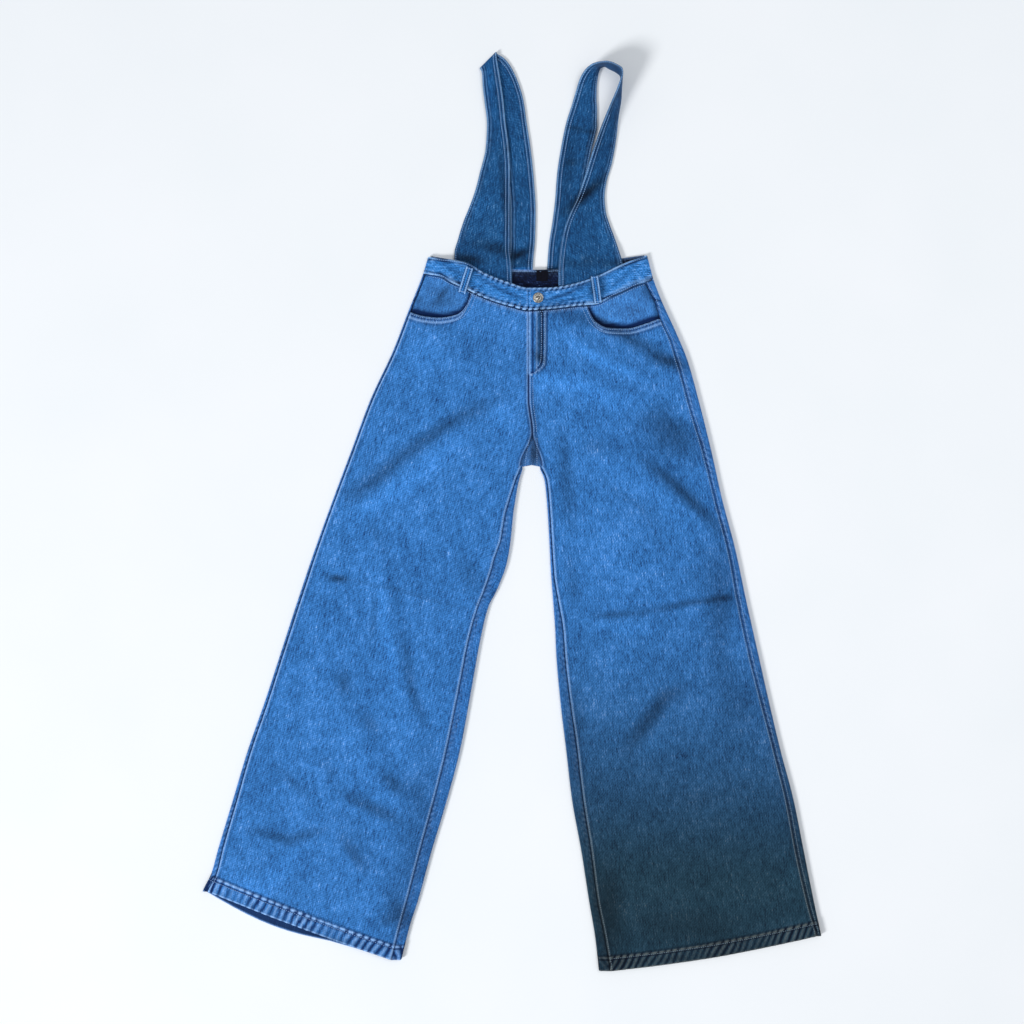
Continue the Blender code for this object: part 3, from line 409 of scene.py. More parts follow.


# Painted light and shade: lighter bands where folds face the light, darker bands in fold valleys, creases
# and cast shadows, and a painted highlight along the back band's edge. Here the height is the share of light
# gained or lost.
paintedLightAndShade = foldTable([
    # right leg
    (21, -0.30, [(-19, 181), (-91, 146), (-139, 114), (-203, 66), (-262, 27)]),
    (24, 0.15, [(-83, 114), (-155, 53), (-211, 13), (-259, -18)]),
    (35, 0.10, [(-27, 186), (-11, 114)]),
    (10, -0.42, [(-294, -106), (-262, -109)]),
    (6, -0.16, [(-262, -110), (-179, -126), (-131, -142), (-67, -158)]),
    (29, -0.14, [(-80, -78), (-54, -126)]),
    (14, -0.10, [(-234, -14), (-202, -59)]),
    (11, -0.12, [(-219, -139), (-224, -214)]),
    (13, 0.16, [(-211, -102), (-198, -206), (-181, -294)]),
    (14, -0.20, [(-173, -198), (-160, -286), (-138, -342)]),
    (21, -0.20, [(-270, -254), (-267, -286)]),
    (19, -0.20, [(-240, -322), (-214, -354)]),
    (14, -0.14, [(-378, -406), (-326, -456)]),
    (16, -0.24, [(-416, -507), (-355, -526), (-299, -506)]),
    (18, -0.28, [(-272, -450), (-214, -478), (-182, -494)]),
    (19, -0.28, [(-205, -418), (-176, -450)]),
    (16, -0.22, [(-270, -523), (-234, -571)]),
    (14, -0.12, [(-299, -395), (-282, -437)]),
    (58, -0.18, [(-125, -390), (-155, -542), (-171, -662)]),
    (32, -0.25, [(-192, -619), (-166, -667)]),
    (32, 0.13, [(-459, -587), (-400, -603), (-339, -542)]),
    (42, 0.08, [(-123, 282), (-160, 222)]),
    # left leg
    (21, -0.32, [(61, 318), (141, 302), (208, 264), (272, 229)]),
    (14, 0.20, [(80, 280), (141, 238), (213, 210)]),
    (26, 0.24, [(26, 184), (58, 211), (109, 200), (160, 174), (213, 171)]),
    (22, -0.15, [(117, 101), (149, 104)]),
    (43, -0.20, [(205, 170), (288, 106)]),
    (18, -0.34, [(208, 82), (256, 46), (301, 2), (330, -27)]),
    (21, 0.08, [(160, 66), (237, 18), (288, -50)]),
    (11, -0.12, [(141, 50), (205, 5), (224, -24)]),
    (21, -0.18, [(80, 130), (94, -22)]),
    (21, -0.12, [(93, -70), (98, -158)]),
    (40, -0.26, [(336, -38), (336, -142), (325, -230)]),
    (10, -0.24, [(131, -168), (208, -162)]),
    (10, -0.22, [(208, -162), (285, -146), (360, -136)]),
    (16, 0.12, [(125, -187), (229, -190)]),
    (35, 0.06, [(141, -230), (205, -258)]),
    (24, -0.32, [(182, -379), (213, -338), (245, -296), (272, -283)]),
    (24, 0.13, [(208, -386), (250, -358)]),
    (21, -0.16, [(101, -286), (106, -374)]),
    (48, -0.16, [(365, -270), (362, -350)]),
    (38, -0.32, [(149, -574), (160, -710)]),
    (48, -0.18, [(205, -662), (373, -670)]),
    (35, 0.14, [(445, -558), (454, -606)]),
    (22, -0.08, [(269, -462), (333, -456)]),
    # fly, crotch, waist and straps
    (13, -0.42, [(46, 314), (46, 229)]),
    (13, -0.22, [(34, 190), (35, 66)]),
    (19, -0.14, [(-91, 338), (-131, 354)]),
    (16, -0.12, [(-147, 302), (-99, 290)]),
    (14, -0.30, [(149, 533), (115, 501), (86, 474)]),
    (6, -0.28, [(82, 616), (138, 603)]),
    (8, -0.22, [(80, 557), (112, 558)]),
    (19, -0.30, [(-67, 429), (-19, 418), (29, 398)]),
    (19, -0.25, [(77, 398), (141, 398)]),
    (11, 0.10, [(-38, 698), (-29, 610)]),
    (10, -0.24, [(-19, 578), (-6, 442)]),
    (22, 0.14, [(-67, 474), (-35, 498)]),
    (22, 0.12, [(141, 474), (150, 426)]),
    (18, -0.26, [(35, 107), (35, 72)]),
    (14, -0.22, [(125, 715), (160, 712), (176, 683)]),
    (6, -0.12, [(3, 392), (26, 395)]),
    (10, -0.34, [(0, 405), (35, 422)]),
    (8, -0.22, [(-94, 366), (-122, 334)]),
    (8, -0.18, [(-141, 344), (-154, 328)]),
    (5, -0.30, [(-82, 392), (-93, 344)]),
    (5, -0.30, [(-59, 386), (-69, 341)]),
    (5, -0.30, [(123, 376), (130, 338)]),
    (5, -0.30, [(144, 376), (147, 341)]),
    (10, -0.18, [(205, 362), (221, 338)]),
    (10, 0.10, [(165, 338), (205, 330)]),
    (18, -0.24, [(221, 243), (278, 232)]),
    (38, -0.13, [(224, 139), (304, 94)]),
    (14, -0.46, [(-99, 408), (-45, 398)]),
    (11, -0.30, [(147, 394), (182, 397)]),
    (19, -0.15, [(98, 610), (83, 482)]),
    (11, -0.15, [(142, 619), (134, 574)]),
    (11, 0.18, [(-38, 722), (-35, 638)]),
    (13, -0.20, [(-141, 328), (-90, 333)]),
    (10, -0.24, [(46, 328), (46, 306)]),
    (11, -0.20, [(27, 254), (54, 238)]),
    # smaller ones, and broad painted light on the right leg and painted shade on the left
    (38, -0.10, [(307, -46), (301, -142)]),
    (42, -0.12, [(346, -222), (326, -302)]),
    (8, -0.45, [(35, 382), (74, 386)]),
    (11, 0.22, [(93, 408), (112, 398)]),
    (6, 0.26, [(125, 320), (176, 298), (237, 317)]),
    (16, -0.22, [(147, 533), (86, 482)]),
    (13, -0.20, [(141, 648), (125, 578)]),
    (11, -0.25, [(-8, 584), (-8, 574)]),
    (29, -0.10, [(205, 120), (285, 78)]),
    (38, -0.10, [(-275, -494), (-211, -578)]),
    (26, -0.09, [(-173, -414), (-144, -462)]),
    (19, -0.10, [(-267, -277), (-267, -293)]),
    (16, -0.14, [(-253, 18), (-192, 62)]),
    (13, -0.16, [(-214, -658), (-189, -648)]),
    (8, -0.12, [(-419, -648), (-323, -677), (-179, -702)]),
    (8, -0.14, [(147, -722), (333, -709), (461, -683)]),
    (99, 0.04, [(-131, 210), (-195, -78)]),
    (90, -0.05, [(205, 146), (285, -206)]),
    (3, 2.40, [(2, 384), (36, 383)]),
])

rumple = {"wide": 64.0, "wideHeight": 0.9, "small": 21.0, "smallHeight": 0.35}   # mm, the cloth's unevenness


def rumpleHeight(x, y):
    wide = noise.noise(Vector((x / rumple["wide"], y / rumple["wide"], 0.3)))
    small = noise.noise(Vector((x / rumple["small"], y / rumple["small"], 7.1)))
    return rumple["wideHeight"] * wide + rumple["smallHeight"] * small


reliefLook = {
    "crotch": (30, 100), "crotchDip": 2.4, "dipSpread": 34,     # mm
    "fullFrom": 30, "fullOver": 60,     # mm from the crotch: where fullness begins, how far it grows
    "heldTo": 4, "heldOver": 30, "heldShare": 0.35,     # little moves at the waist seam
}


def relief(x, y):  # height of the top layer over a flat leg
    look = reliefLook
    below = readSize(bandSeam, "y", x) - y
    fade = ease(below / size["waistFade"])
    rise = readSize(waistRise, "rise", x) * (1 - fade)
    crotch = math.hypot(x - look["crotch"][0], y - look["crotch"][1])
    dip = -look["crotchDip"] * (1 - ease(crotch / look["dipSpread"]))
    free = ease((below - look["heldTo"]) / look["heldOver"])
    full = size["fullness"] * fade * ease((crotch - look["fullFrom"]) / look["fullOver"])
    held = mix(look["heldShare"], 1.0, free)
    return rise + dip + full + foldHeight(x, y) * held + rumpleHeight(x, y) * free


# Where a point of the plan lies once the cloth is folded round its edges
def lay(leg, onTop, x, y, radius, innerFold):
    slack = (math.pi / 2 - 1) * radius
    edges = [(readSize(leg["outer"], "x", y), -leg["side"])]
    if innerFold:
        edges.append((readSize(leg["inner"], "x", y), leg["side"]))
    edgeX, inward = min(edges, key=lambda edge: (x - edge[0]) * edge[1])
    arc = (x - edgeX) * inward + slack
    if not onTop:
        arc = -arc
    if abs(arc) <= math.pi * radius / 2:
        angle = arc / radius
        height = radius + radius * math.sin(angle)
        return Vector((edgeX + inward * radius * (1 - math.cos(angle)), y, height))
    inside = abs(arc) - slack
    placeX = edgeX + inward * inside
    if arc < 0:
        return Vector((placeX, y, 0.0))
    rise = relief(placeX, y) * ease((inside - radius) / size["edgeEase"])
    return Vector((placeX, y, 2 * radius + rise))


def filled(top, bottom, left, right, shares):  # plan points between four edges that share their corners
    rows = []
    for down, (start, end) in enumerate(zip(left, right)):
        v = down / (len(left) - 1)
        row = []
        for u, high, low in zip(shares, top, bottom):
            edges = high * (1 - v) + low * v + start * (1 - u) + end * u
            corners = (top[0] * (1 - u) * (1 - v) + top[-1] * u * (1 - v)
                       + bottom[0] * (1 - u) * v + bottom[-1] * u * v)
            row.append(edges - corners)
        rows.append(row)
    return rows


def lengthsAlong(points):
    lengths = [0.0]
    for start, end in zip(points, points[1:]):
        lengths.append(lengths[-1] + (end - start).length)
    return lengths


def respaced(points, parts):  # points of a polyline at the given shares of its length
    lengths = lengthsAlong(points)
    made = []
    for part in parts:
        target = part * lengths[-1]
        index = min(max(bisect_right(lengths, target) - 1, 0), len(points) - 2)
        span = max(lengths[index + 1] - lengths[index], 1e-9)
        made.append(points[index].lerp(points[index + 1], (target - lengths[index]) / span))
    return made


def edgeShares(count, crowd=0.5):  # shares from 0 to 1, closer together at both ends
    return [part - crowd * math.sin(2 * math.pi * part) / (2 * math.pi) for part in even(count)]


legRows = {"hemAbove": 8, "hemTurn": 3, "hemStep": 1.3, "foldAbove": 0.6, "curlFrom": 2}    # mm


# Sections of a leg: y at the outer edge, y at the inner edge, how far the inner fold has closed, radius
def legHeights(leg, innerTop, step, first=None):
    outerTop = leg["pocket"]["rows"][0][2]
    crotchFront, crotchFold, turn = size["crotchFront"], size["crotchFold"], size["crotchTurn"]
    outerFold = crotchFold + 2 * size["crotchLead"]
    hemOuter, hemInner = leg["hemOuter"] + size["hemDepth"], leg["hemInner"] + size["hemDepth"]
    radius, hemRadius = size["foldRadius"], size["hemRadius"]
    marks = [first] if first else []
    marks += [(outerTop, innerTop, 0, radius), (crotchFront + size["crotchLead"], crotchFront, 0, radius),
              (outerFold, crotchFold + legRows["foldAbove"], 0, radius)]
    for index, curl in enumerate(size["crotchCurls"]):
        down = legRows["curlFrom"] + index * (turn - legRows["curlFrom"]) / len(size["crotchCurls"])
        marks.append((outerFold - down, crotchFold - down, curl, radius))
    marks.append((outerFold - turn, crotchFold - turn, 1, radius))
    for above in (legRows["hemAbove"], legRows["hemTurn"]):
        marks.append((hemOuter + above, hemInner + above, 1, radius))
    marks += [(hemOuter, hemInner, 1, hemRadius), (leg["hemOuter"], leg["hemInner"], 1, hemRadius)]
    rows = []
    for high, low in zip(marks, marks[1:]):
        opening = high[2] == 0 and low[2] > 0
        pace = legRows["hemStep"] if high[0] <= hemOuter + legRows["hemAbove"] else step
        count = 1 if opening else max(1, round(max(high[0] - low[0], high[1] - low[1]) / pace))
        for index in range(count):
            rows.append(tuple(mix(a, b, index / count) for a, b in zip(high, low)))
    rows.append(marks[-1])
    return rows


def centreLine(y):  # x of the centre front seam
    return size["centreFront"] + size["centreBend"] * ease((size["bendTop"] - y) / size["bendDepth"])


def frontInnerX(leg, y, folded):
    side = leg["side"]
    if folded:
        return readSize(leg["inner"], "x", y) + side * (readSize(leg["inner"], "lip", y) + size["gap"] / 2)
    if y >= size["crotchFront"]:
        return centreLine(y) + side * size["gap"] / 2
    lip = readSize(leg["inner"], "lip", size["crotchFold"])
    seam = readSize(leg["inner"], "x", size["crotchFold"]) + side * (lip + 1)
    part = ease((size["crotchFront"] - y) / (size["crotchFront"] - size["crotchFold"]))
    return mix(size["centreFront"] + size["centreBend"] + side * size["gap"] / 2, seam, part)


def waistPoint(x, drop=0.0):
    return Vector((x, readSize(bandSeam, "y", x) - drop))


mouthSteps = 40


def pocketMouth(leg, count=mouthSteps):
    mouth = leg["pocket"]
    return [Vector((readSize(mouth, "x", part), readSize(mouth, "y", part))) for part in even(count)]


# Top edge of a front by columns: shares, points and the column at the pocket's corner
def frontTop(leg, count):
    mouth = pocketMouth(leg)
    centre = size["centreFront"] + leg["side"] * size["gap"] / 2
    waist = [waistPoint(mix(mouth[-1].x, centre, part), 2 * size["gap"]) for part in even(mouthSteps)]
    curve = mouth[:-1] + waist
    lengths = lengthsAlong(curve)
    atCorner = lengths[len(mouth) - 1] / lengths[-1]
    shares = edgeShares(count)
    corner = min(range(len(shares)), key=lambda index: abs(shares[index] - atCorner))
    shift = (atCorner - shares[corner]) / math.sin(math.pi * shares[corner])
    shares = [share + shift * math.sin(math.pi * share) for share in shares]
    shares[corner] = atCorner
    return shares, respaced(curve, shares), corner


# Finer form: raised seams, puckers, wear

def ridge(distance, centre, half, height):
    return height * (1 - ease(abs(distance - centre) / half))


def ridges(distance, rows):  # several beside one edge: mm from it, half the width, height
    return sum(ridge(distance, *row) for row in rows)


puckerLook = {"drift": 2.6, "driftAlong": 37.0, "driftAcross": 30.0,    # mm: the ripples' spacing wanders
              "least": 0.65, "uneven": 0.7, "unevenAlong": 52.0, "slant": 0.6}


# The roping beside a seam that shrank in the wash
def puckers(distance, along, height=0.3, reach=15.0, period=11.0):
    if distance > reach:
        return 0.0
    look = puckerLook
    place = Vector((along / look["driftAlong"], distance / look["driftAcross"], 2.0))
    drift = look["drift"] * noise.noise(place)
    uneven = look["least"] + look["uneven"] * noise.noise(Vector((along / look["unevenAlong"], 4.0, 1.0)))
    wave = math.sin(2 * math.pi * (along + look["slant"] * distance) / period + drift)
    return height * uneven * wave * (1 - ease(distance / reach))


sharpAngle = math.radians(50)
made = {}       # every finished piece by its name
grids = {}      # and the points of its right side


def cutOf(plan):  # width, length and area of a flat cut, in metres
    width = max(lengthsAlong(row)[-1] for row in plan)
    length = max(lengthsAlong([row[index] for row in plan])[-1] for index in range(len(plan[0])))
    area = 0.0
    for upper, lower in zip(plan, plan[1:]):
        for index in range(len(upper) - 1):
            first, second = lower[index + 1] - upper[index], upper[index + 1] - lower[index]
            area += abs(first.x * second.y - first.y * second.x) / 2
    return (width * mm, length * mm), min(area, width * length) * mm * mm


def paintedShadowAt(x, y):       # painted shadow: the left leg turns darker and less blue towards its hem
    if x < denimLook["paintedShadowSide"]:
        return 0.0
    return ease((denimLook["paintedShadowFrom"] - y) / denimLook["paintedShadowDepth"])


# A wall of cloth on a grid of points, with the plan's own coordinates for its weave
def clothPiece(name, node, grid, plan, wall, finish, outward=None, tones=None, hem=None, offset=-1.0,
               grain=0.0):
    body = bmesh.new()
    wear, darkDyeAndShade, paintedShadow, shade = (body.verts.layers.float.new(key) for key in ("wear", "darkDyeAndShade", "paintedShadow", "shade"))
    weave = body.loops.layers.uv.new("plan")
    verts = []
    for rowIndex, row in enumerate(grid):
        line = []
        for columnIndex, point in enumerate(row):
            vert = body.verts.new(point * mm)
            # painted shadow over the left leg's lower part
            vert[paintedShadow] = paintedShadowAt(point.x, point.y)
            # painted light and shade from the bands, multiplying the colour
            vert[shade] = 1 + denimLook["fade"] * foldHeight(point.x, point.y, paintedLightAndShade)
            if tones:
                marks = tones[rowIndex][columnIndex]
                vert[wear], vert[darkDyeAndShade] = (min(max(value, 0.0), 1.0) for value in marks)
            line.append(vert)
        verts.append(line)
    turnX, turnY = math.cos(grain), math.sin(grain)
    for down in range(len(grid) - 1):
        for across in range(len(grid[0]) - 1):
            corners = [(down, across), (down + 1, across), (down + 1, across + 1), (down, across + 1)]
            face = body.faces.new([verts[a][b] for a, b in corners])
            for loop, (a, b) in zip(face.loops, corners):
                flat = plan[a][b] * mm
                loop[weave].uv = (flat.x * turnX + flat.y * turnY, flat.y * turnX - flat.x * turnY)
    body.normal_update()
    if outward is not None:
        lean = sum(face.normal.z * face.calc_area() for face in body.faces)
        if lean * outward < 0:
            bmesh.ops.reverse_faces(body, faces=body.faces)
    mesh = bpy.data.meshes.new(name)
    body.to_mesh(mesh)
    body.free()
    piece = bpy.data.objects.new(name, mesh)
    bpy.context.scene.collection.objects.link(piece)
    mesh.materials.append(finishes[finish])
    mesh.shade_smooth()
    mesh.set_sharp_from_angle(angle=sharpAngle)
    solid = piece.modifiers.new("wall", "SOLIDIFY")
    solid.thickness = wall * mm
    solid.offset = offset
    if hem:
        firstRow, hemWall = hem
        group = piece.vertex_groups.new(name="hem")
        group.add(list(range(firstRow * len(grid[0]), len(grid) * len(grid[0]))), 1.0, "REPLACE")
        solid.vertex_group = "hem"
        solid.thickness = hemWall * mm
        solid.thickness_vertex_group = wall / hemWall
    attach(piece, "root")
    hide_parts(node)
    flat, area = cutOf(plan)
    made[name] = piece
    grids[name] = grid
    print(name, "cut", [round(value, 3) for value in flat], "area", round(area, 4))
    return piece


# Front legs

frontLook = {
    "columns": 136, "step": 3.8,    # how fine: columns across, mm between rows
    "seamPucker": 0.28, "waistPucker": (17, 13), "waistHeight": 0.4, "waistShade": 0.5,
    "mouthGape": (9.0, 1.5), "mouthPucker": (0.35, 13, 8.5), "mouthPitch": 5.2,
    # lines beside an edge, each as mm from the edge, half the width, strength
    "outerRise": [(4.2, 4.0, 0.75)], "outerWear": [(1.4, 1.9, 0.7)], "outerDeep": [(6.6, 2.4, 0.25)],
    "innerRise": [(3.6, 3.4, 0.6)], "innerWear": [(1.6, 2.6, 0.55)], "innerDeep": [(6.2, 2.4, 0.2)],
    "riseDeep": [(0.0, 3.2, 1.0), (5.0, 2.4, 0.4)],
    "mouthRise": [(5.0, 3.0, 0.35)], "mouthWear": [(0.6, 2.6, 0.95), (8.2, 2.2, 0.75)],
    "mouthGroove": [(4.4, 2.4, 1.1)], "mouthDeep": [(11.0, 2.2, 0.5)],
    "waistWear": [(4.2, 1.8, 0.25)], "waistDeep": [(0.0, 3.6, 0.8)],
}
flyLook = {
    "rise": 1.0, "ease": (1.5, 3), "pucker": (0.4, 13, 9),
    "edgeWear": [(-0.5, 1.8, 0.75)], "edgeDeep": [(2.6, 2.0, 0.9)], "grooveDeep": [(-5.5, 3.0, 0.9)],
    "foldWear": [(13.0, 2.4, 0.5)], "foldDeep": [(6.5, 3.4, 0.7)],      # these two from the centre
}
hemLook = {
    "reach": 30, "end": 3,
    "pucker": 0.7, "puckerFrom": 12, "puckerFade": 0.9, "puckerReach": 34, "period": 11.5,
    "rise": [(1.5, 3, 0.3), (17.6, 2.0, -0.4)], "wear": [(1.0, 1.6, 0.8), (21.0, 1.8, 1.0)],
    "darkDyeAndShade": [(24.0, 1.8, 0.4), (17.6, 1.7, 1.0)], "innerWear": [(0.4, 1.5, 0.8)], "innerDeep": (2.5, 0.9),
}


def hemBulge(leg, part, isBack):
    bow = leg["backHemBow" if isBack else "hemBow"] * math.sin(math.pi * part)
    if isBack:
        bow -= leg["backHemDrop"] * math.sin(math.pi * min(part * 1.6, 1.0))
    return Vector((0, bow))


def frontPlan(leg):
    side = leg["side"]
    shares, top, corner = frontTop(leg, frontLook["columns"])
    heights = legHeights(leg, top[-1].y, frontLook["step"])
    left, right = [], []
    for outerY, innerY, curl, radius in heights:
        lip = readSize(leg["outer"], "lip", outerY) + size["gap"] / 2
        left.append(Vector((readSize(leg["outer"], "x", outerY) - side * lip, outerY)))
        right.append(Vector((frontInnerX(leg, innerY, curl > 0), innerY)))
    top[0], top[-1] = left[0], right[0]
    bottom = [left[-1].lerp(right[-1], part) + hemBulge(leg, part, False) for part in shares]
    return filled(top, bottom, left, right, shares), heights, corner, shares


def hemStart(heights):  # first row of the doubled hem
    return next(index for index, row in enumerate(heights) if row[3] == size["hemRadius"])


def hemTone(above, along):  # height, wear and depth of the hem's band
    if above >= hemLook["reach"]:
        return 0.0, 0.0, 0.0
    inBand = 1 - ease((above - size["hemDepth"]) / hemLook["end"])
    rope = puckers(hemLook["puckerFrom"] - hemLook["puckerFade"] * above, along, hemLook["pucker"],
                   hemLook["puckerReach"], hemLook["period"]) * inBand
    lift = rope + ridges(above, hemLook["rise"])
    wear = ridges(above, hemLook["wear"]) + 1.1 * max(rope, 0)
    darkDyeAndShade = ridges(above, hemLook["darkDyeAndShade"]) - 2.4 * min(rope, 0)
    return lift, wear, darkDyeAndShade


# Each tone below gives the height, wear and darkening that its edge or seam adds at a point of the front;
# the darkening is dark dye in seam valleys and painted shade in grooves

def seamTone(look, fromOuter, fromInner, y, belowFly, hasRidge):
    lift = ridges(fromOuter, look["outerRise"]) + puckers(fromOuter, y, look["seamPucker"])
    lift += puckers(fromInner, y, look["seamPucker"])
    wear = ridges(fromOuter, look["outerWear"]) + ridges(fromInner, look["innerWear"])
    darkDyeAndShade = ridges(fromOuter, look["outerDeep"]) + ridges(fromInner, look["innerDeep"])
    if hasRidge:
        lift += ridges(fromInner, look["innerRise"])
    if belowFly:
        darkDyeAndShade += ridges(fromInner, look["riseDeep"])
    return lift, wear, darkDyeAndShade


def mouthTone(look, fromTop, x, share):
    gapeReach, gapeHeight = look["mouthGape"]
    rope = puckers(fromTop, x, *look["mouthPucker"])
    dashes = 0.7 + 0.3 * math.sin(2 * math.pi * x / look["mouthPitch"])
    lift = ridge(fromTop, 0.0, gapeReach, gapeHeight * math.sin(math.pi * min(share, 1.0)))
    lift += ridges(fromTop, look["mouthRise"]) + rope
    darkDyeAndShade = ridges(fromTop, look["mouthGroove"]) * dashes + ridges(fromTop, look["mouthDeep"])
    return lift, ridges(fromTop, look["mouthWear"]), darkDyeAndShade - 1.2 * min(rope, 0)


def waistTone(look, fromTop, x):
    lift = puckers(fromTop, x, look["waistHeight"], *look["waistPucker"])
    shadow = min(puckers(fromTop, x, look["waistShade"], *look["waistPucker"]), 0)
    return lift, ridges(fromTop, look["waistWear"]), ridges(fromTop, look["waistDeep"]) - 1.2 * shadow


def flyTone(look, fromInner, y):
    width = readSize(flyEdge, "width", y)
    fromEdge = fromInner - width
    start, end = look["ease"]
    inFly = 1 - ease((fromEdge + start) / end)
    rope = puckers(abs(fromEdge), y, *look["pucker"]) * inFly
    wear = ridges(fromEdge, look["edgeWear"]) + 0.9 * max(rope, 0)
    wear += ridges(fromInner, look["foldWear"]) * inFly
    darkDyeAndShade = ridges(fromEdge, look["edgeDeep"]) + ridges(fromEdge, look["grooveDeep"]) * inFly
    darkDyeAndShade += ridges(fromInner, look["foldDeep"]) * inFly - 1.6 * min(rope, 0)
    return look["rise"] * inFly + rope, wear, darkDyeAndShade


def frontLeg(name, leg):
    side = leg["side"]
    plan, heights, corner, shares = frontPlan(leg)
    cornerShare = shares[corner]
    flyFoot = flyEdge["keys"][0]
    grid, tones = [], []
    for row, (outerY, innerY, curl, radius) in zip(plan, heights):
        places, marks = [], []
        for column, point in enumerate(row):
            x, y = point.x, point.y
            fromInner = (point - row[-1]).length
            fromTop = (point - plan[0][column]).length
            found = [seamTone(frontLook, (point - row[0]).length, fromInner, y, curl == 0 and y < flyFoot,
                              curl > 0 or y < flyFoot or side < 0)]
            if column < corner:
                found.append(mouthTone(frontLook, fromTop, x, shares[column] / cornerShare))
            else:
                found.append(waistTone(frontLook, fromTop, x))
            if side > 0 and y > flyFoot:
                found.append(flyTone(flyLook, fromInner, y))
            found.append(hemTone(y - plan[-1][column].y, x))
            lift, wear, darkDyeAndShade = (sum(values) for values in zip(*found))
            place = lay(leg, True, x, y, radius, curl > 0)
            place.z += lift
            places.append(place)
            marks.append((wear, darkDyeAndShade))
        grid.append(places)
        tones.append(marks)
    clothPiece("frontLeg" + name.capitalize(), "front_leg_" + name, grid, plan, size["denim"], "front",
               1, tones, (hemStart(heights), size["hem"]), grain=leg["grain"])


# Back legs and yokes, wrapped round both side folds to the top

backLook = {
    "step": 4.5, "lipSteps": 5, "foldSteps": 8, "floorSteps": 14, "yokeRows": 10,
    "seamPucker": (0.25, 14, 9.5), "wear": 2.0, "seamDeep": [(0.4, 2.6, 0.95)], "darkDyeAndShade": 2.2,
    "topFrom": 1.9,     # radii of the fold above which the cloth shows on top
    "yokeSeam": (1.0, 0.12, 0.6), "fromYoke": 24, "backFold": 1.5,
}


def foldMarks(edgeX, outward, lip, radius, curl=1):
    slack = (math.pi / 2 - 1) * radius
    quarter = math.pi * radius / 2
    seam = lip + slack if curl == 1 else mix(-quarter, quarter, curl)
    start = min(quarter, seam - size["gap"])
    end = min(-quarter, start - radius)
    arcs = [mix(seam, start, step / backLook["lipSteps"]) for step in range(backLook["lipSteps"])]
    arcs += [mix(start, end, step / backLook["foldSteps"]) for step in range(backLook["foldSteps"] + 1)]
    return [edgeX + outward * (arc + slack) for arc in arcs]


def backMarks(leg, outerY, innerY, curl, radius):
    side, halfGap = leg["side"], size["gap"] / 2
    lip = readSize(leg["outer"], "lip", outerY) - halfGap
    outer = foldMarks(readSize(leg["outer"], "x", outerY), side, lip, radius)
    if curl:
        lip = readSize(leg["inner"], "lip", innerY) - halfGap
        inner = foldMarks(readSize(leg["inner"], "x", innerY), -side, lip, radius, curl)[::-1]
    else:
        last = size["centreBack"] + side * halfGap
        count = backLook["lipSteps"] + backLook["foldSteps"]
        spread = side * radius * backLook["backFold"]
        inner = [last + spread * (count - index) / count for index in range(count + 1)]
    steps = backLook["floorSteps"]
    floor = [mix(outer[-1], inner[0], step / steps) for step in range(1, steps)]
    return outer + floor + inner, outer[-1], inner[0]


def backTone(place, radius, fromSeam, along):  # height, wear and depth of the strip that shows on top
    if place.z < backLook["topFrom"] * radius:
        return 0.0, 0.15, 0.0
    rope = puckers(fromSeam, along, *backLook["seamPucker"])
    wear = max(rope, 0) * backLook["wear"]
    return rope, wear, ridges(fromSeam, backLook["seamDeep"]) - min(rope, 0) * backLook["darkDyeAndShade"]


def backLeg(name, leg):
    yokeSeam = (size["yokeSide"] - size["gap"], size["yokeCentre"] - size["gap"], 0, size["foldRadius"])
    heights = legHeights(leg, size["yokeCentre"] - backLook["fromYoke"], backLook["step"], yokeSeam)
    grid, plan, tones = [], [], []
    for index, (outerY, innerY, curl, radius) in enumerate(heights):
        marks, start, end = backMarks(leg, outerY, innerY, curl, radius)
        down = index / (len(heights) - 1)
        flatRow, places, shades = [], [], []
        for x in marks:
            share = min(max((x - start) / (end - start), 0.0), 1.0)
            y = mix(outerY, innerY, share) + down * hemBulge(leg, share, True).y
            place = lay(leg, False, x, y, radius, curl > 0)
            fromSeam = min(abs(x - marks[0]), abs(x - marks[-1]))
            lift, wear, darkDyeAndShade = backTone(place, radius, fromSeam, y)
            place.z += lift
            above = mix(outerY - leg["hemOuter"], innerY - leg["hemInner"], share)
            if place.z > backLook["topFrom"] * radius:
                hemLift, hemWear, hemDeep = hemTone(above, x)
                place.z += hemLift
                wear += hemWear
                darkDyeAndShade += hemDeep
            elif above < hemLook["reach"]:      # the far hem's inner face, in the front hem's shadow
                depth, darkness = hemLook["innerDeep"]
                wear += ridges(above, hemLook["innerWear"])
                darkDyeAndShade += darkness * ease(above / depth)
            flatRow.append(Vector((x, y)))
            places.append(place)
            shades.append((wear, darkDyeAndShade))
        plan.append(flatRow)
        grid.append(places)
        tones.append(shades)
    clothPiece("backLeg" + name.capitalize(), "back_leg_" + name, grid, plan, size["denim"], "back",
               -1, tones, (hemStart(heights), size["hem"]), grain=leg["grain"])


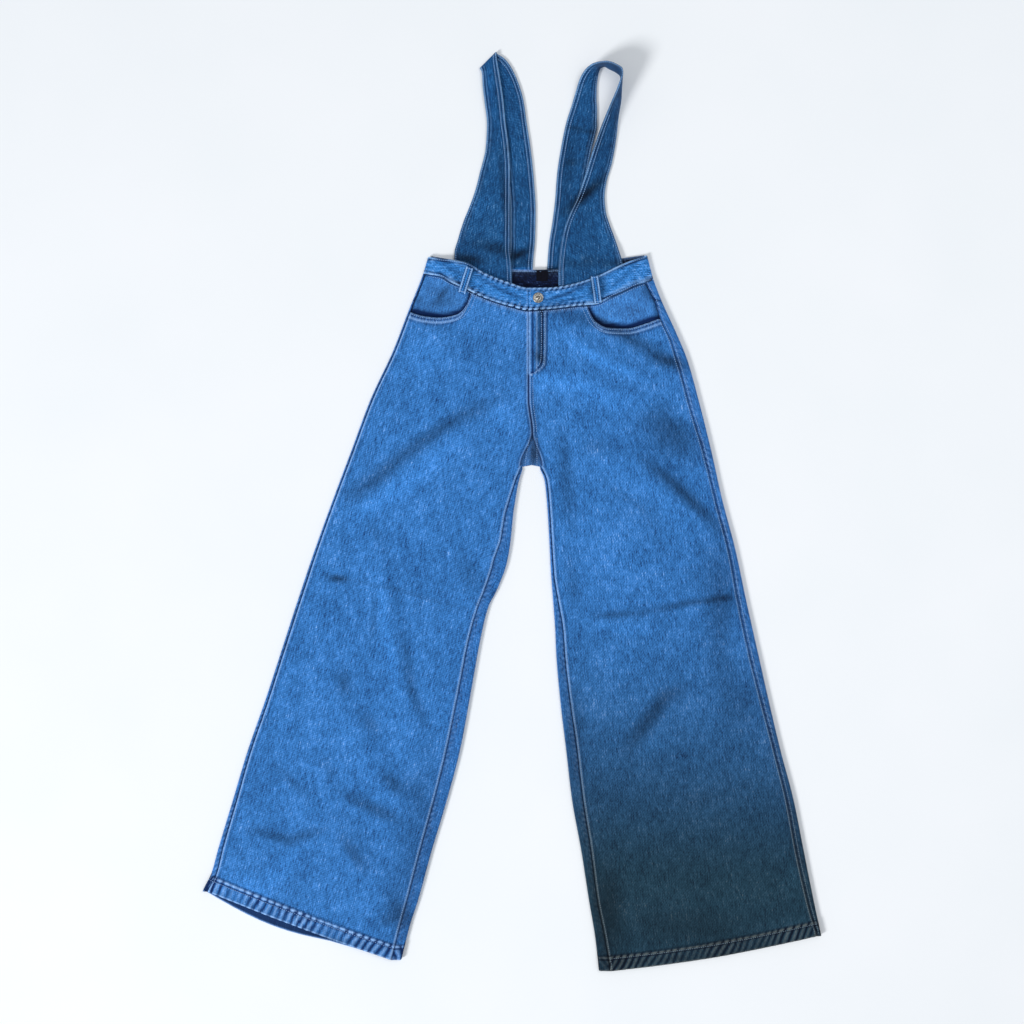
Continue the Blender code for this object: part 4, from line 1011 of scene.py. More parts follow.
def backYoke(name, leg):
    side, radius = leg["side"], size["foldRadius"]
    grid, plan, tones = [], [], []
    for part in even(backLook["yokeRows"]):
        outerY = mix(leg["waistSeam"], size["yokeSide"], part)
        marks, start, end = backMarks(leg, outerY, size["yokeCentre"], 0, radius)
        edgeX = readSize(leg["outer"], "x", outerY)
        flatRow, places, shades = [], [], []
        for x in marks:
            beyond = (x - edgeX) * side - (math.pi - 2) * radius
            if (x - edgeX) * side > -radius:
                high = waistPoint(edgeX - side * max(beyond, 0.0)).y - size["gap"]
            else:
                high = readSize(backBandSeam, "y", x) - size["gap"]
            share = min(max((x - start) / (end - start), 0.0), 1.0)
            y = mix(high, mix(size["yokeSide"], size["yokeCentre"], share), part)
            place = lay(leg, False, x, y, radius, False)
            lift, wear, darkDyeAndShade = backTone(place, radius, abs(x - marks[0]), y)
            place.z += lift
            flatRow.append(Vector((x, y)))
            places.append(place)
            shades.append((wear, darkDyeAndShade + ridge(part, *backLook["yokeSeam"])))
        plan.append(flatRow)
        grid.append(places)
        tones.append(shades)
    clothPiece("backYoke" + name.capitalize(), "back_yoke_" + name, grid, plan, size["denim"], "back",
               -1, tones, grain=leg["grain"])


# Pocket facings, seen in the scooped mouths

facingLook = {
    "rows": 16, "columns": 30, "sink": 1.0,     # mm that it sinks more below the mouth's edge
    "topSteps": 14, "inward": 8, "pucker": (0.3, 14, 12), "wear": 0.1, "shadow": [(14.0, 13.0, 2.2)],
    "seamDeep": [(0, 3, 0.4)],
}


def pocketFacing(name, leg):
    side, count = leg["side"], facingLook["columns"]
    mouth = pocketMouth(leg, count - 2)
    front, corner = frontTop(leg, facingLook["topSteps"])[1:]
    lowY = mouth[0].y - size["facingUnderlap"]

    def seamPoint(y):
        lip = readSize(leg["outer"], "lip", y) + size["gap"]
        return Vector((readSize(leg["outer"], "x", y) - side * lip, y))

    start = seamPoint(leg["waistSeam"])
    start.y = waistPoint(start.x, size["gap"]).y
    left = [seamPoint(mix(start.y, lowY, part)) for part in even(facingLook["rows"])]
    left[0] = start
    last = front[corner].x
    top = [waistPoint(mix(start.x, last, part), size["gap"]) for part in even(count - 2)]
    inward = side * facingLook["inward"]
    top += [waistPoint(last - inward / 2, 2.5 * size["gap"]), waistPoint(last - inward, 4 * size["gap"])]
    low = [point + Vector((-inward * index / (count - 2), -size["facingUnderlap"]))
           for index, point in enumerate(mouth)]
    low[0] = left[-1]
    low += [low[-1] + Vector((-side * 1.5, -0.5)), low[-1] + Vector((-side * 3, -1))]
    right = [top[-1].lerp(low[-1], part) for part in even(facingLook["rows"])]
    plan = filled(top, low, left, right, even(count))
    grid, tones = [], []
    for down, row in enumerate(plan):
        places, marks = [], []
        for across, point in enumerate(row):
            place = lay(leg, True, point.x, point.y, size["foldRadius"], False)
            fromTop, fromLow = (point - top[across]).length, (point - low[across]).length
            near = ease(down / facingLook["rows"]) * ease(4 * across / count)
            near *= ease(4 * (count - across) / count)
            place.z -= size["facingDrop"] + facingLook["sink"] * near
            place.z += puckers(fromTop, point.x, *facingLook["pucker"]) * (1 - near)
            places.append(place)
            marks.append((facingLook["wear"],
                          ridges(fromLow, facingLook["shadow"]) + ridges(fromTop, facingLook["seamDeep"])))
        grid.append(places)
        tones.append(marks)
    clothPiece("pocketFacing" + name.capitalize(), "pocket_facing_" + name, grid, plan, size["denim"],
               "facing", 1, tones, grain=leg["grain"])


for name, leg in legs.items():
    backLeg(name, leg)
    backYoke(name, leg)
    pocketFacing(name, leg)
    frontLeg(name, leg)
print("legs sewn")


# Waistband

bandLook = {
    "rows": 22, "sideSteps": 10, "arcSteps": 8, "topPucker": (0.55, 11, 8.5), "lowPucker": (0.65, 13, 10.0),
    "topRise": [(1.6, 2.0, 0.35)], "topWear": [(0.7, 1.7, 0.95)], "topDeep": [(4.4, 1.8, 0.6)],
    "lowRise": [(1.6, 2.0, 0.3)], "lowWear": [(0.9, 1.7, 0.8)], "lowDeep": [(4.6, 1.9, 0.55)],
    "wear": 1.5, "darkDyeAndShade": 2.4, "dragShade": 0.6, "lipAt": 370, "inset": 8,
}
bandFolds = foldTable([   # drag lines from the button and the loops
    (5.5, -1.1, [(48, 334), (88, 346), (126, 366)]),
    (5.0, -0.9, [(22, 337), (-20, 354), (-62, 378)]),
    (5.0, -0.6, [(50, 330), (90, 336), (128, 346)]),
    (6.0, -0.6, [(-70, 372), (-92, 384), (-112, 392)]),
    (6.0, -0.6, [(150, 350), (176, 372), (196, 388)]),
])


def bandTone(fromTop, fromLow, along, drag):
    look = bandLook
    rope = puckers(fromTop, along, *look["topPucker"]) + puckers(fromLow, -along, *look["lowPucker"])
    lift = rope + ridges(fromTop, look["topRise"]) + ridges(fromLow, look["lowRise"]) + drag
    wear = ridges(fromTop, look["topWear"]) + ridges(fromLow, look["lowWear"]) + look["wear"] * max(rope, 0)
    darkDyeAndShade = ridges(fromTop, look["topDeep"]) + ridges(fromLow, look["lowDeep"]) - look["darkDyeAndShade"] * min(rope, 0)
    # the drag lines' creases get painted shade
    return lift, (wear, darkDyeAndShade - look["dragShade"] * drag)


def frontBand(name, leg):
    side, radius = leg["side"], size["bandRadius"]
    shares, front, corner = frontTop(leg, frontLook["columns"])
    columns = [point.x for point in front[corner:]][::-1]
    lip = readSize(leg["outer"], "lip", bandLook["lipAt"])
    seamX = readSize(leg["outer"], "x", leg["waistSeam"]) - side * (lip + size["gap"])
    columns += [mix(front[corner].x, seamX, part) for part in even(bandLook["sideSteps"])[1:]]
    reach = bandTop["keys"][-1 if side > 0 else 0] - side * bandLook["inset"]
    slack = (math.pi / 2 - 1) * radius
    quarter = math.pi * radius / 2
    arcs = [mix(quarter, -quarter, part) for part in even(bandLook["arcSteps"])]
    arcs.append(-quarter - size["bandLap"])
    grid, plan, tones = [], [], []
    for part in even(bandLook["rows"]):
        flatRow, places, marks = [], [], []
        for x in columns:
            high = mix(columns[0], reach, (x - columns[0]) / (columns[-1] - columns[0]))
            topPoint = Vector((high, readSize(bandTop, "y", high)))
            point = topPoint.lerp(waistPoint(x), part)
            depth = (topPoint - waistPoint(x)).length
            drag = foldHeight(point.x, point.y, bandFolds)
            lift, mark = bandTone(part * depth, (1 - part) * depth, point.x, drag)
            place = lay(leg, True, point.x, point.y, radius, False)
            place.z += lift
            flatRow.append(point)
            places.append(place)
            marks.append(mark)
        y = mix(leg["waistTop"], leg["waistSeam"], part)
        edgeX = readSize(leg["outer"], "x", y)
        depth = leg["waistTop"] - leg["waistSeam"]
        for arc in arcs:
            point = Vector((edgeX - side * (arc - slack), y))
            flatRow.append(point)
            places.append(lay(leg, True, point.x, y, radius, False))
            marks.append(bandTone(part * depth, (1 - part) * depth, point.x, 0.0)[1])
        plan.append(flatRow)
        grid.append(places)
        tones.append(marks)
    clothPiece("waistband" + name.capitalize(), "waistband_" + name, grid, plan, size["band"], "band",
               1, tones, grain=math.pi / 2)


backBandLook = {
    "rows": 10, "columns": 110, "fullLift": 2.5, "rest": 0.3, "ropeShare": 0.6,
    "topPucker": (0.7, 14, 9.0), "lowPucker": (0.4, 10, 9.0),
    "wear": [(0.6, 1.6, 0.9)], "darkDyeAndShade": [(5.0, 2.0, 0.5)],
}


def backBand():
    look = backBandLook
    ends = []
    for part in even(look["rows"]):
        row = []
        for leg in (legs["right"], legs["left"]):
            y = mix(leg["waistTop"], leg["waistSeam"], part)
            inset = size["bandRadius"] + size["bandLap"] + 3 * size["gap"]
            row.append(readSize(leg["outer"], "x", y) - leg["side"] * inset)
        ends.append(row)
    grid, plan, tones = [], [], []
    for part, (low, high) in zip(even(look["rows"]), ends):
        flatRow, places, marks = [], [], []
        for share in even(look["columns"]):
            x = mix(low, high, share)
            topY, seamY = readSize(backBandTop, "y", x), readSize(backBandSeam, "y", x)
            y = mix(topY, seamY, part)
            lift = readSize(bandLift, "lift", x)
            free = lift / look["fullLift"]
            fromTop, fromLow = part * (topY - seamY), (1 - part) * (topY - seamY)
            rope = puckers(fromTop, x, *look["topPucker"]) + puckers(fromLow, x, *look["lowPucker"])
            flatRow.append(Vector((x, y)))
            places.append(Vector((x, y, lift + free * (look["ropeShare"] * rope + look["rest"]))))
            marks.append((ridges(fromTop, look["wear"]) + look["ropeShare"] * max(rope, 0),
                          ridges(fromTop, look["darkDyeAndShade"]) - min(rope, 0)))
        plan.append(flatRow)
        grid.append(places)
        tones.append(marks)
    clothPiece("waistbandBack", "waistband_back", grid, plan, size["band"], "inside", -1,
               tones, grain=math.pi / 2)


for name, leg in legs.items():
    frontBand(name, leg)
backBand()


# Belt loops

loopLook = {
    "width": 12.5, "arch": 1.2, "rows": 20, "columns": 16,
    "ends": {"right": ((-67, 388), (-80, 347)), "left": ((131, 374), (137, 331))},
    # across the loop, from its middle at 0 to its edge at 1; the dark line at the edge is painted shadow
    "rise": [(0.72, 0.3, 0.35)], "wear": [(0.74, 0.22, 1.0)], "darkDyeAndShade": [(0.4, 0.3, 0.8), (1.0, 0.14, 1.0)],
    "edgeDrop": 0.25, "edgeShare": 0.15,
    "stitchRows": 3.2, "tacks": (1.8, 2.8), "tackHalf": 4.5,    # mm
}


def bandHeight(x, y):  # height of the front band's face
    leg = legs["right"] if x < size["centreFront"] else legs["left"]
    return lay(leg, True, x, y, size["bandRadius"], False).z


def beltLoop(name):
    start, end = (Vector(place) for place in loopLook["ends"][name])
    along = (end - start).normalized()
    across = Vector((-along.y, along.x)) * loopLook["width"] / 2
    grid, plan, tones = [], [], []
    for part in even(loopLook["rows"]):
        middle = start.lerp(end, part)
        arch = loopLook["arch"] * math.sin(math.pi * part)
        height = bandHeight(middle.x, middle.y) + 3 * size["gap"] + size["loop"] + arch
        flatRow, places, marks = [], [], []
        for share in even(loopLook["columns"]):
            offset = 2 * share - 1
            place = middle + across * offset
            outward = abs(offset)
            drop = loopLook["edgeDrop"] * ease((outward - 1) / loopLook["edgeShare"] + 1)
            flatRow.append(Vector((offset * loopLook["width"] / 2, part * (end - start).length)))
            places.append(Vector((place.x, place.y, height + ridges(outward, loopLook["rise"]) - drop)))
            marks.append((ridges(outward, loopLook["wear"]), ridges(outward, loopLook["darkDyeAndShade"])))
        grid.append(places)
        plan.append(flatRow)
        tones.append(marks)
    clothPiece("beltLoop" + name.capitalize(), "belt_loop_" + name, grid, plan, size["loop"], "band",
               1, tones)


for name in legs:
    beltLoop(name)
print("waistband and loops sewn")


# Straps: each strip from its wing's foot over the top to its end, (x, y, z) of its neck edge and arm edge

strapLook = {
    "steps": 7, "columns": 34, "pucker": (0.22, 10, 9.5), "liftShare": 0.6, "ahead": 0.1,
    "wear": [(0.9, 1.5, 0.85), (6.5, 1.6, 0.2)], "darkDyeAndShade": [(4.0, 1.8, 0.7), (9.0, 1.8, 0.45)],
    "neckRows": (2.4, 7.4), "armRows": (2.4,), "rowSteps": 6,     # mm from the edge, places for each station
}
rightStrap = [
    ((0, 338, 6.9), (-88, 362, 3.9)), ((0, 360, 6.9), (-90, 372, 3.9)), ((0, 378, 6.9), (-92, 391, 3.9)),
    ((-1, 396, 6.7), (-92, 411, 3.6)), ((-3, 420, 4.6), (-86, 435, 1.4)), ((-3, 446, 3.9), (-78, 461, 1.3)),
    ((-3, 474, 3.9), (-68, 486, 1.3)), ((-3, 502, 3.9), (-59, 511, 1.4)), ((-3, 538, 3.9), (-51, 542, 1.8)),
    ((-5, 578, 3.9), (-42, 580, 3.0)), ((-10, 618, 3.9), (-40, 618, 3.9)),
    ((-14, 658, 4.1), (-44, 654, 4.1)),
    ((-19, 692, 4.4), (-47, 680, 4.4)), ((-24, 721, 4.7), (-48, 699, 4.7)),
    ((-25, 731, 4.2), (-50, 705, 4.2)),
    ((-25, 733, 2.9), (-51, 707, 2.9)), ((-24, 731, 1.6), (-49, 704, 1.6)),
    ((-13, 724, 1.1), (-42, 690, 1.1)),
    ((-3, 712, 1.1), (-34, 672, 1.1)), ((8, 690, 1.1), (-26, 651, 1.1)), ((18, 658, 1.1), (-19, 626, 1.1)),
    ((24, 618, 1.1), (-14, 598, 1.1)), ((30, 578, 1.1), (-11, 570, 1.1)), ((35, 530, 1.1), (-6, 526, 1.1)),
    ((38, 482, 1.1), (-3, 482, 1.1)), ((37, 434, 1.1), (-3, 434, 1.1)), ((34, 400, 1.1), (-5, 400, 1.1)),
    ((32, 364, 1.1), (-6, 364, 1.1)),
]
leftStrap = [
    ((74, 338, 7.1), (182, 354, 3.9)), ((74, 362, 7.1), (180, 374, 3.9)), ((74, 386, 7.1), (176, 398, 3.9)),
    ((76, 408, 6.6), (170, 418, 3.4)), ((79, 430, 5.2), (163, 439, 1.6)), ((84, 452, 5.2), (156, 458, 1.3)),
    ((92, 474, 5.2), (150, 478, 1.3)), ((104, 500, 5.6), (148, 502, 1.3)),
    ((115, 530, 9.5), (151, 526, 1.3)),
    ((125, 562, 15), (159, 555, 1.3)), ((139, 602, 22), (166, 594, 1.3)), ((155, 640, 29), (170, 632, 1.3)),
    ((168, 670, 34), (174, 658, 1.3)), ((174, 689, 37), (175, 680, 1.3)), ((173, 696, 37), (174, 694, 1.3)),
    ((165, 702, 37), (166, 702, 1.3)), ((156, 706, 37), (156, 707, 1.3)),
    ((147.7, 707.5, 36), (148, 711, 1.3)),
    ((137, 707, 34), (142, 709, 1.3)), ((128, 706, 29), (138, 701, 1.3)),
    ((118.5, 702, 20), (136, 689, 1.3)),
    ((109, 690, 12), (135, 675, 1.3)), ((102, 670, 6), (135, 660, 1.3)), ((96, 650, 3), (136, 642, 1.3)),
    ((86, 618, 1.3), (136, 616, 1.3)), ((78, 578, 1.1), (127, 577, 1.1)), ((72, 538, 1.1), (120, 538, 1.1)),
    ((69, 498, 1.1), (115, 498, 1.1)), ((64, 458, 1.1), (109, 458, 1.1)), ((59, 426, 1.1), (102, 426, 1.1)),
    ((55, 370, 1.1), (94, 370, 1.1)),
]


def strapTable(stations):
    return sizeTable("at neckX neckY neckZ armX armY armZ",
                     [(index, *neck, *arm) for index, (neck, arm) in enumerate(stations)])


def strapEdge(table, edge, at):
    return Vector([readSize(table, edge + axis, at) for axis in "XYZ"])


strapTables = {"right": strapTable(rightStrap), "left": strapTable(leftStrap)}
strapCreases = {    # station, half the width in stations, height
    "right": [(10.3, 0.5, -0.7), (11.0, 0.6, 0.5), (3.4, 0.8, -0.8), (20.5, 0.4, -0.4), (25.2, 0.35, -0.6)],
    "left": [(24.6, 0.5, -0.6), (25.2, 0.5, 0.5), (23.7, 0.4, -0.5), (5.5, 1.0, -0.6), (26.5, 0.3, -0.35)],
}


def strap(name):
    table = strapTables[name]
    count = (len(table["rows"]) - 1) * strapLook["steps"]
    grid, plan, tones = [], [], []
    run = 0.0
    before = None
    for step in range(count + 1):
        at = step / strapLook["steps"]
        neck, arm = strapEdge(table, "neck", at), strapEdge(table, "arm", at)
        middle, width = (neck + arm) / 2, (arm - neck).length
        run += (middle - before).length if before else 0.0
        before = middle
        later = min(at + strapLook["ahead"], len(table["rows"]) - 1)
        ahead = strapEdge(table, "neck", later) + strapEdge(table, "arm", later) - neck - arm
        normal = ahead.cross(arm - neck)
        normal = normal.normalized() if normal.length > 1e-6 else Vector((0, 0, 1))
        crease = ridges(at, strapCreases[name])
        flatRow, places, marks = [], [], []
        for share in even(strapLook["columns"]):
            edge = min(share, 1 - share) * width
            lift = puckers(edge, run, *strapLook["pucker"]) + crease * math.sin(math.pi * share)
            flatRow.append(Vector(((share - 0.5) * width, -run)))
            places.append(neck.lerp(arm, share) + normal * lift * strapLook["liftShare"])
            marks.append((ridges(edge, strapLook["wear"]), ridges(edge, strapLook["darkDyeAndShade"])))
        grid.append(places)
        plan.append(flatRow)
        tones.append(marks)
    clothPiece("strap" + name.capitalize(), "strap_" + name, grid, plan, size["strap"], "strap",
               None, tones, offset=0.0)


for name in legs:
    strap(name)
print("straps sewn")


# Waist button: a dished cap with a rolled rim and a dome on a short neck

buttonLook = {
    "at": (41.6, 339.2), "steps": 72, "merge": 0.00001,
    "profile": [    # radius and height, from the dome over the rim to the neck's foot
        (0.0, 3.7), (0.8, 3.66), (1.4, 3.5), (2.0, 3.22), (2.5, 2.9), (2.9, 2.5), (3.2, 2.24), (3.8, 2.12),
        (5.0, 2.16), (5.8, 2.4), (6.5, 2.78), (7.1, 2.95), (7.7, 2.9), (8.2, 2.62), (8.45, 2.2),
        (8.45, 1.8), (8.2, 1.4), (7.4, 0.95), (3.0, 0.85), (2.8, 0.0), (0.0, 0.0)],
}


def waistButton():
    body = bmesh.new()
    verts = [body.verts.new(Vector((radius, 0, height)) * mm) for radius, height in buttonLook["profile"]]
    for start, end in zip(verts, verts[1:]):
        body.edges.new((start, end))
    mesh = bpy.data.meshes.new("waistButton")
    body.to_mesh(mesh)
    body.free()
    button = bpy.data.objects.new("waistButton", mesh)
    bpy.context.scene.collection.objects.link(button)
    mesh.materials.append(finishes["nickel"])
    x, y = buttonLook["at"]
    button.location = Vector((x, y, bandHeight(x, y) + 2 * size["gap"])) * mm
    turn = button.modifiers.new("turn", "SCREW")
    turn.steps = turn.render_steps = buttonLook["steps"]
    turn.use_merge_vertices = True
    turn.merge_threshold = buttonLook["merge"]
    turn.use_smooth_shade = True
    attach(button, "root")
    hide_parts("waist_button")
    made["waistButton"] = button


waistButton()
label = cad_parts["back_label"]
for slot in label.material_slots:
    slot.material = finishes["patch"]


# Sewing: each stitch is a small bead of thread, pressed into the cloth where it lies

stitchLook = {"pitch": 3.5, "length": 2.7, "width": 0.85, "rise": 0.42, "sides": 6,     # mm
              "belly": 0.55, "lift": 0.12, "sunk": 0.18, "steepest": 0.6, "tolerance": 3.0}


def surfaceOf(names):  # what a needle meets from above, in mm
    verts, faces = [], []
    depsgraph = bpy.context.evaluated_depsgraph_get()
    for name in names:
        mesh = made[name].evaluated_get(depsgraph).to_mesh()
        first = len(verts)
        verts += [vert.co / mm for vert in mesh.vertices]
        faces += [[first + index for index in face.vertices] for face in mesh.polygons]
    return BVHTree.FromPolygons(verts, faces)


# Places of the stitches on a plan line: the middle, the way along and the cloth's normal
def sewnPlaces(line, surface, expected=None):
    count = max(2, round(lengthsAlong(line)[-1] / stitchLook["pitch"]))
    places = respaced(line, even(count))
    heights = respaced(expected, even(count)) if expected else None
    found = []
    for index in range(count):
        middle = (places[index] + places[index + 1]) / 2
        hit, normal = surface.ray_cast(Vector((middle.x, middle.y, 100.0)), Vector((0, 0, -1)))[:2]
        if hit is None or normal.z < stitchLook["steepest"]:
            continue
        if heights and abs(heights[index].z - hit.z) > stitchLook["tolerance"]:
            continue
        along = (places[index + 1] - places[index]).to_3d().normalized()
        found.append((hit, along, normal))
    return found


def stitchPiece(name, rows):  # all the stitches of some seams as one mesh
    body = bmesh.new()
    paintedShadow = body.verts.layers.float.new("paintedShadow")
    look = stitchLook
    half, sides = look["length"] / 2, look["sides"]
    count = 0
    for places in rows:
        for middle, along, normal in places:
            sideways = normal.cross(along).normalized()
            forward = sideways.cross(normal)
            rings = []
            for reach in (-look["belly"], look["belly"]):
                ring = []
                for side in range(sides):
                    angle = 2 * math.pi * side / sides
                    offset = (forward * reach * half + sideways * math.cos(angle) * look["width"] / 2
                              + normal * (math.sin(angle) * look["rise"] + look["lift"]))
                    ring.append(body.verts.new((middle + offset) * mm))
                rings.append(ring)
            tips = [body.verts.new((middle + forward * half * end - normal * look["sunk"]) * mm)
                    for end in (-1, 1)]
            for vert in rings[0] + rings[1] + tips:
                # painted shadow over the left leg's lower part
                vert[paintedShadow] = paintedShadowAt(middle.x, middle.y)
            for side in range(sides):
                later = (side + 1) % sides
                body.faces.new((rings[0][side], rings[0][later], rings[1][later], rings[1][side]))
                body.faces.new((tips[0], rings[0][later], rings[0][side]))
                body.faces.new((tips[1], rings[1][side], rings[1][later]))
            count += 1
    bmesh.ops.recalc_face_normals(body, faces=body.faces)
    mesh = bpy.data.meshes.new(name)
    body.to_mesh(mesh)
    body.free()
    mesh.materials.append(finishes["thread"])
    mesh.shade_smooth()
    piece = bpy.data.objects.new(name, mesh)
    bpy.context.scene.collection.objects.link(piece)
    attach(piece, "root")
    print(name, count, "stitches")


def line2d(points):
    return [Vector((x, y)) for x, y in points]


def spaced(function, start, end, step=6.0):  # plan line of a function of one value
    count = max(2, round(abs(end - start) / step))
    return [function(mix(start, end, part)) for part in even(count)]


seamLook = {    # mm from each seam or edge to its rows of stitches
    "outer": 2.4, "outerBack": -4.2, "inner": 2.4, "hem": 19.6, "mouth": (2.2, 8.0), "rise": (2.6, 7.0),
    "outerStart": 4, "hemEnd": 3, "hemEndBack": 4,
    "flyEdge": 1.4, "flySecond": 5.0, "flySecondDrop": 3, "flyTurn": 240, "flyCentre": 2.2,
    "flyHeights": (316, 300, 280, 260, 245, 236, 230, 225, 221, 218.4), "flyFoot": (2, 217.4), "flyEnd": 216,
    "riseHeights": (214, 190, 170, 150, 135, 126),
    "seat": (((27, 114), (21, 75)), ((40, 117), (40, 72))),     # the seat's seam, seen between the legs
    "tack": (1.5, 6.5), "tackRows": 4, "tackPitch": 0.9,        # bar tack at the fly's foot
    "bandTop": 2.4, "bandLow": -2.6, "underBand": 3.0,
    "bandReach": ((-128, 24.5), (28.5, 212)), "bandStart": 6,
    "lap": (24.0, 29.2), "lapHeights": (352, 322), "backTop": 3.0, "backReach": (-2, 75),
}


def sideSeams(name, leg):
    look, side = seamLook, leg["side"]

    def outerLine(inset):
        def place(y):
            lip = readSize(leg["outer"], "lip", y) + inset
            return Vector((readSize(leg["outer"], "x", y) - side * lip, y))
        return place

    def innerLine(y):
        return Vector((frontInnerX(leg, y, True) + side * look["inner"], y))

    pocketTop = leg["pocket"]["rows"][0][2]
    rows = [spaced(outerLine(look["outer"]), pocketTop - look["outerStart"],
                   leg["hemOuter"] + look["hemEnd"])]
    if side > 0:
        rows.append(spaced(outerLine(look["outerBack"]), leg["waistSeam"] - look["outerStart"],
                           leg["hemOuter"] + look["hemEndBack"]))
    rows.append(spaced(innerLine, size["crotchFold"] - size["crotchTurn"], leg["hemInner"] + look["hemEnd"]))
    bottom = [place.to_2d() for place in grids["frontLeg" + name.capitalize()][-1]]
    rows.append([place + Vector((0, look["hem"])) for place in bottom])
    mouth = pocketMouth(leg)
    for away in look["mouth"]:
        line = []
        for index, point in enumerate(mouth):
            tangent = (mouth[min(index + 1, mouthSteps)] - mouth[max(index - 1, 0)]).normalized()
            line.append(point - Vector((tangent.y, -tangent.x)) * side * away)
        rows.append(line[1:])
    return rows


def flySeams():
    look, centre = seamLook, size["centreFront"]
    edge = [(centre + readSize(flyEdge, "width", y) - look["flyEdge"], y) for y in look["flyHeights"]]
    second = [(x - look["flySecond"], y if y > look["flyTurn"] else y + look["flySecondDrop"])
              for x, y in edge[:-2]]
    footX, footY = look["flyFoot"]
    rows = [edge + [(centre + footX, footY)], second]
    rows.append([(centre - look["flyCentre"], y) for y in (look["flyHeights"][0], look["flyEnd"])])
    for offset in look["rise"]:
        rows.append([(centreLine(y) + offset, y) for y in look["riseHeights"]])
    rows += look["seat"]
    for row in range(look["tackRows"]):
        rows.append([(centre + x, look["flyEnd"] + look["tackPitch"] * row) for x in look["tack"]])
    return [line2d(row) for row in rows]


def waistSeams():
    look, rows = seamLook, []

    def below(table, drop):
        return lambda x: Vector((x, readSize(table, "y", x) - drop))

    for low, high in look["bandReach"]:
        rows.append(spaced(below(bandTop, look["bandTop"]), low, high))
        for drop in (look["bandLow"], look["underBand"]):
            rows.append(spaced(below(bandSeam, drop), low - look["bandStart"], high))
    rows += [line2d([(x, y) for y in look["lapHeights"]]) for x in look["lap"]]
    rows.append(spaced(below(backBandTop, look["backTop"]), *look["backReach"]))
    return rows


def loopSeams():
    rows = []
    for ends in loopLook["ends"].values():
        start, end = (Vector(place) for place in ends)
        along, length = (end - start).normalized(), (end - start).length
        across = Vector((-along.y, along.x))
        for offset in (-loopLook["stitchRows"], loopLook["stitchRows"]):
            rows.append([start + across * offset + along, end + across * offset - along])
        near, far = loopLook["tacks"]
        half = across * loopLook["tackHalf"]
        for run in (near, far, length - far, length - near):
            middle = start + along * run
            rows.append([middle - half, middle, middle + half])
    return rows


def strapSeams(table):
    rows = []
    count = (len(table["rows"]) - 1) * strapLook["rowSteps"]
    for edge, other in (("neck", "arm"), ("arm", "neck")):
        for inset in strapLook[edge + "Rows"]:
            line = []
            for step in range(count + 1):
                at = step / strapLook["rowSteps"]
                here, away = strapEdge(table, edge, at), strapEdge(table, other, at)
                line.append(here + (away - here).normalized() * inset)
            rows.append(line)
    return rows


def sewn(name, lines, onto):
    surface = surfaceOf(onto)
    stitchPiece(name, [sewnPlaces(line, surface) for line in lines])


def both(*names):
    return [name + end for name in names for end in ("Right", "Left")]


legLines = [line for name, leg in legs.items() for line in sideSeams(name, leg)] + flySeams()
sewn("stitchesLegs", legLines, both("frontLeg", "backLeg", "backYoke"))
sewn("stitchesWaist", waistSeams(),
     both("waistband", "frontLeg", "backYoke", "pocketFacing") + ["waistbandBack"])
sewn("stitchesLoops", loopSeams(), both("beltLoop"))
strapSurface = surfaceOf(both("strap", "waistband"))
strapRows = []
for table in strapTables.values():
    for line in strapSeams(table):
        strapRows.append(sewnPlaces([place.to_2d() for place in line], strapSurface, line))
stitchPiece("stitchesStraps", strapRows)
print("sewing done")


# Floor, lights and camera

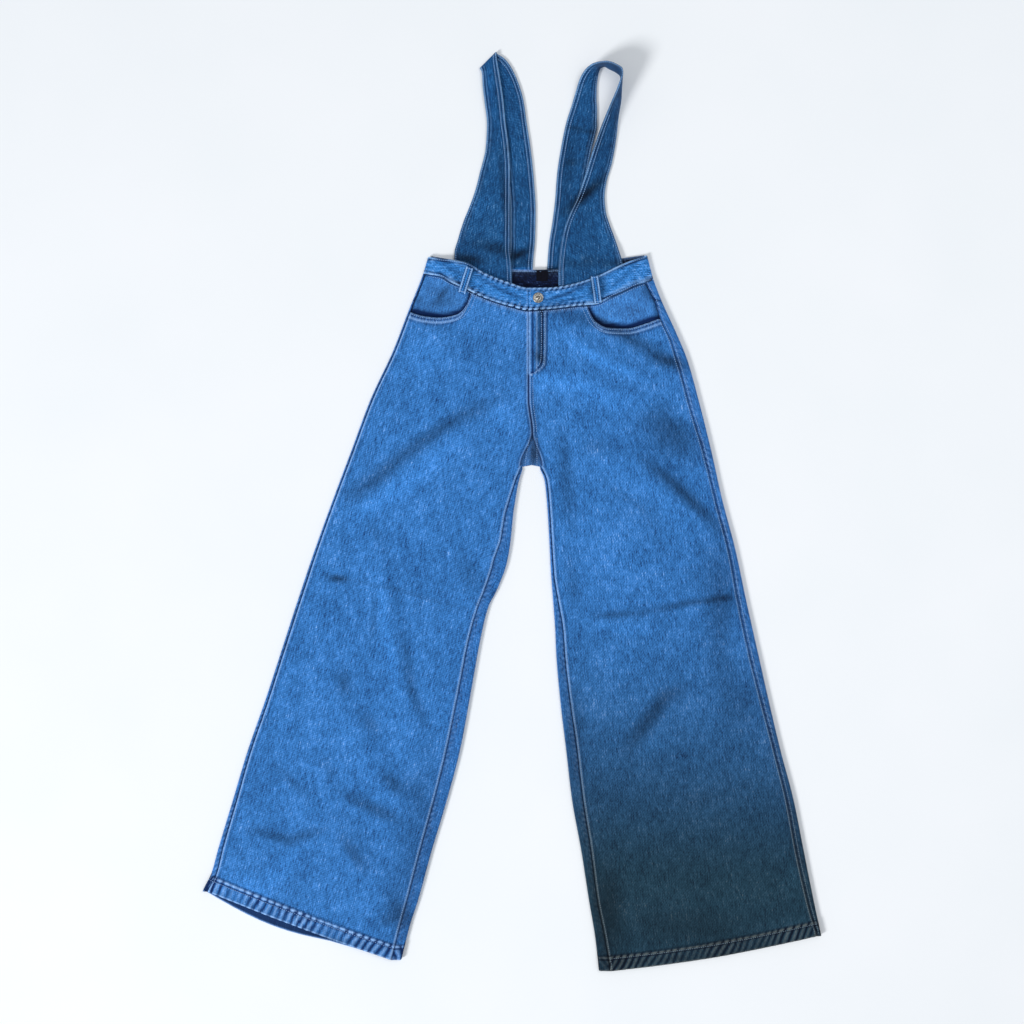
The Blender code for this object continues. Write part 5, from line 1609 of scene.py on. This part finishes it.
stageLook = {
    "pixel": 1.6, "frame": 1024,    # mm of the cloth's plane to one pixel, and the picture's width in pixels
    "height": 2.2,          # m, camera over the floor
    "sensor": 36.0,
    "floor": "#f4f6f8", "floorMarks": "#f1f4f6", "floorGrain": 260.0, "floorHalf": 9.0, "floorDrop": 0.0004,
    "world": 0.45, "worldColor": "#eef4fc",
    "keyPlace": (-6.0, -4.6, 4.6), "keyAim": (0.0, 0.1, 0.0), "keySize": 2.4, "keyPower": 640.0,
    "fillPlace": (1.2, 0.6, 3.0), "fillAim": (0.2, 0.1, 0.0), "fillSize": 2.0, "fillPower": 27.0,
}


def softLight(name, place, aim, width, power):
    lamp = bpy.data.lights.new(name, "AREA")
    lamp.shape = "DISK"
    lamp.size = width
    lamp.energy = power
    holder = bpy.data.objects.new(name, lamp)
    holder.location = place
    holder.rotation_euler = (Vector(aim) - Vector(place)).to_track_quat("-Z", "Y").to_euler()
    bpy.context.scene.collection.objects.link(holder)


def paleFloor():  # matt painted board: even, with a faint roller texture
    body = bmesh.new()
    bmesh.ops.create_grid(body, x_segments=2, y_segments=2, size=stageLook["floorHalf"])
    mesh = bpy.data.meshes.new("floor")
    body.to_mesh(mesh)
    body.free()
    floor = bpy.data.objects.new("floor", mesh)
    floor.location.z = -stageLook["floorDrop"]
    bpy.context.scene.collection.objects.link(floor)
    surface, tree, shader = startMaterial("boardPaintedMatt", Roughness=0.9)
    place = addNode(tree, "TexCoord").outputs["Object"]
    tone = noiseOf(tree, scaled(tree, place, stageLook["floorGrain"], stageLook["floorGrain"]), 2.0)
    color = ramp(tree, tone, [(0.3, hexColor(stageLook["floorMarks"])), (0.7, hexColor(stageLook["floor"]))])
    tree.links.new(color, shader.inputs["Base Color"])
    mesh.materials.append(surface)


paleFloor()
world = bpy.data.worlds.new("studio")
bpy.context.scene.world = world
world.use_nodes = True
world.node_tree.nodes["Background"].inputs[0].default_value = hexColor(stageLook["worldColor"])
world.node_tree.nodes["Background"].inputs[1].default_value = stageLook["world"]
for name in ("key", "fill"):
    softLight(name, *(stageLook[name + value] for value in ("Place", "Aim", "Size", "Power")))
bpy.context.scene.view_settings.view_transform = "Standard"

lens = bpy.data.cameras.new("camera")
across = stageLook["pixel"] * stageLook["frame"] * mm
lens.sensor_width = stageLook["sensor"]
lens.lens = lens.sensor_width * stageLook["height"] / across
camera = bpy.data.objects.new("camera", lens)
camera.location = (0.0, -stageLook["pixel"] * mm, stageLook["height"])
bpy.context.scene.collection.objects.link(camera)
bpy.context.scene.camera = camera
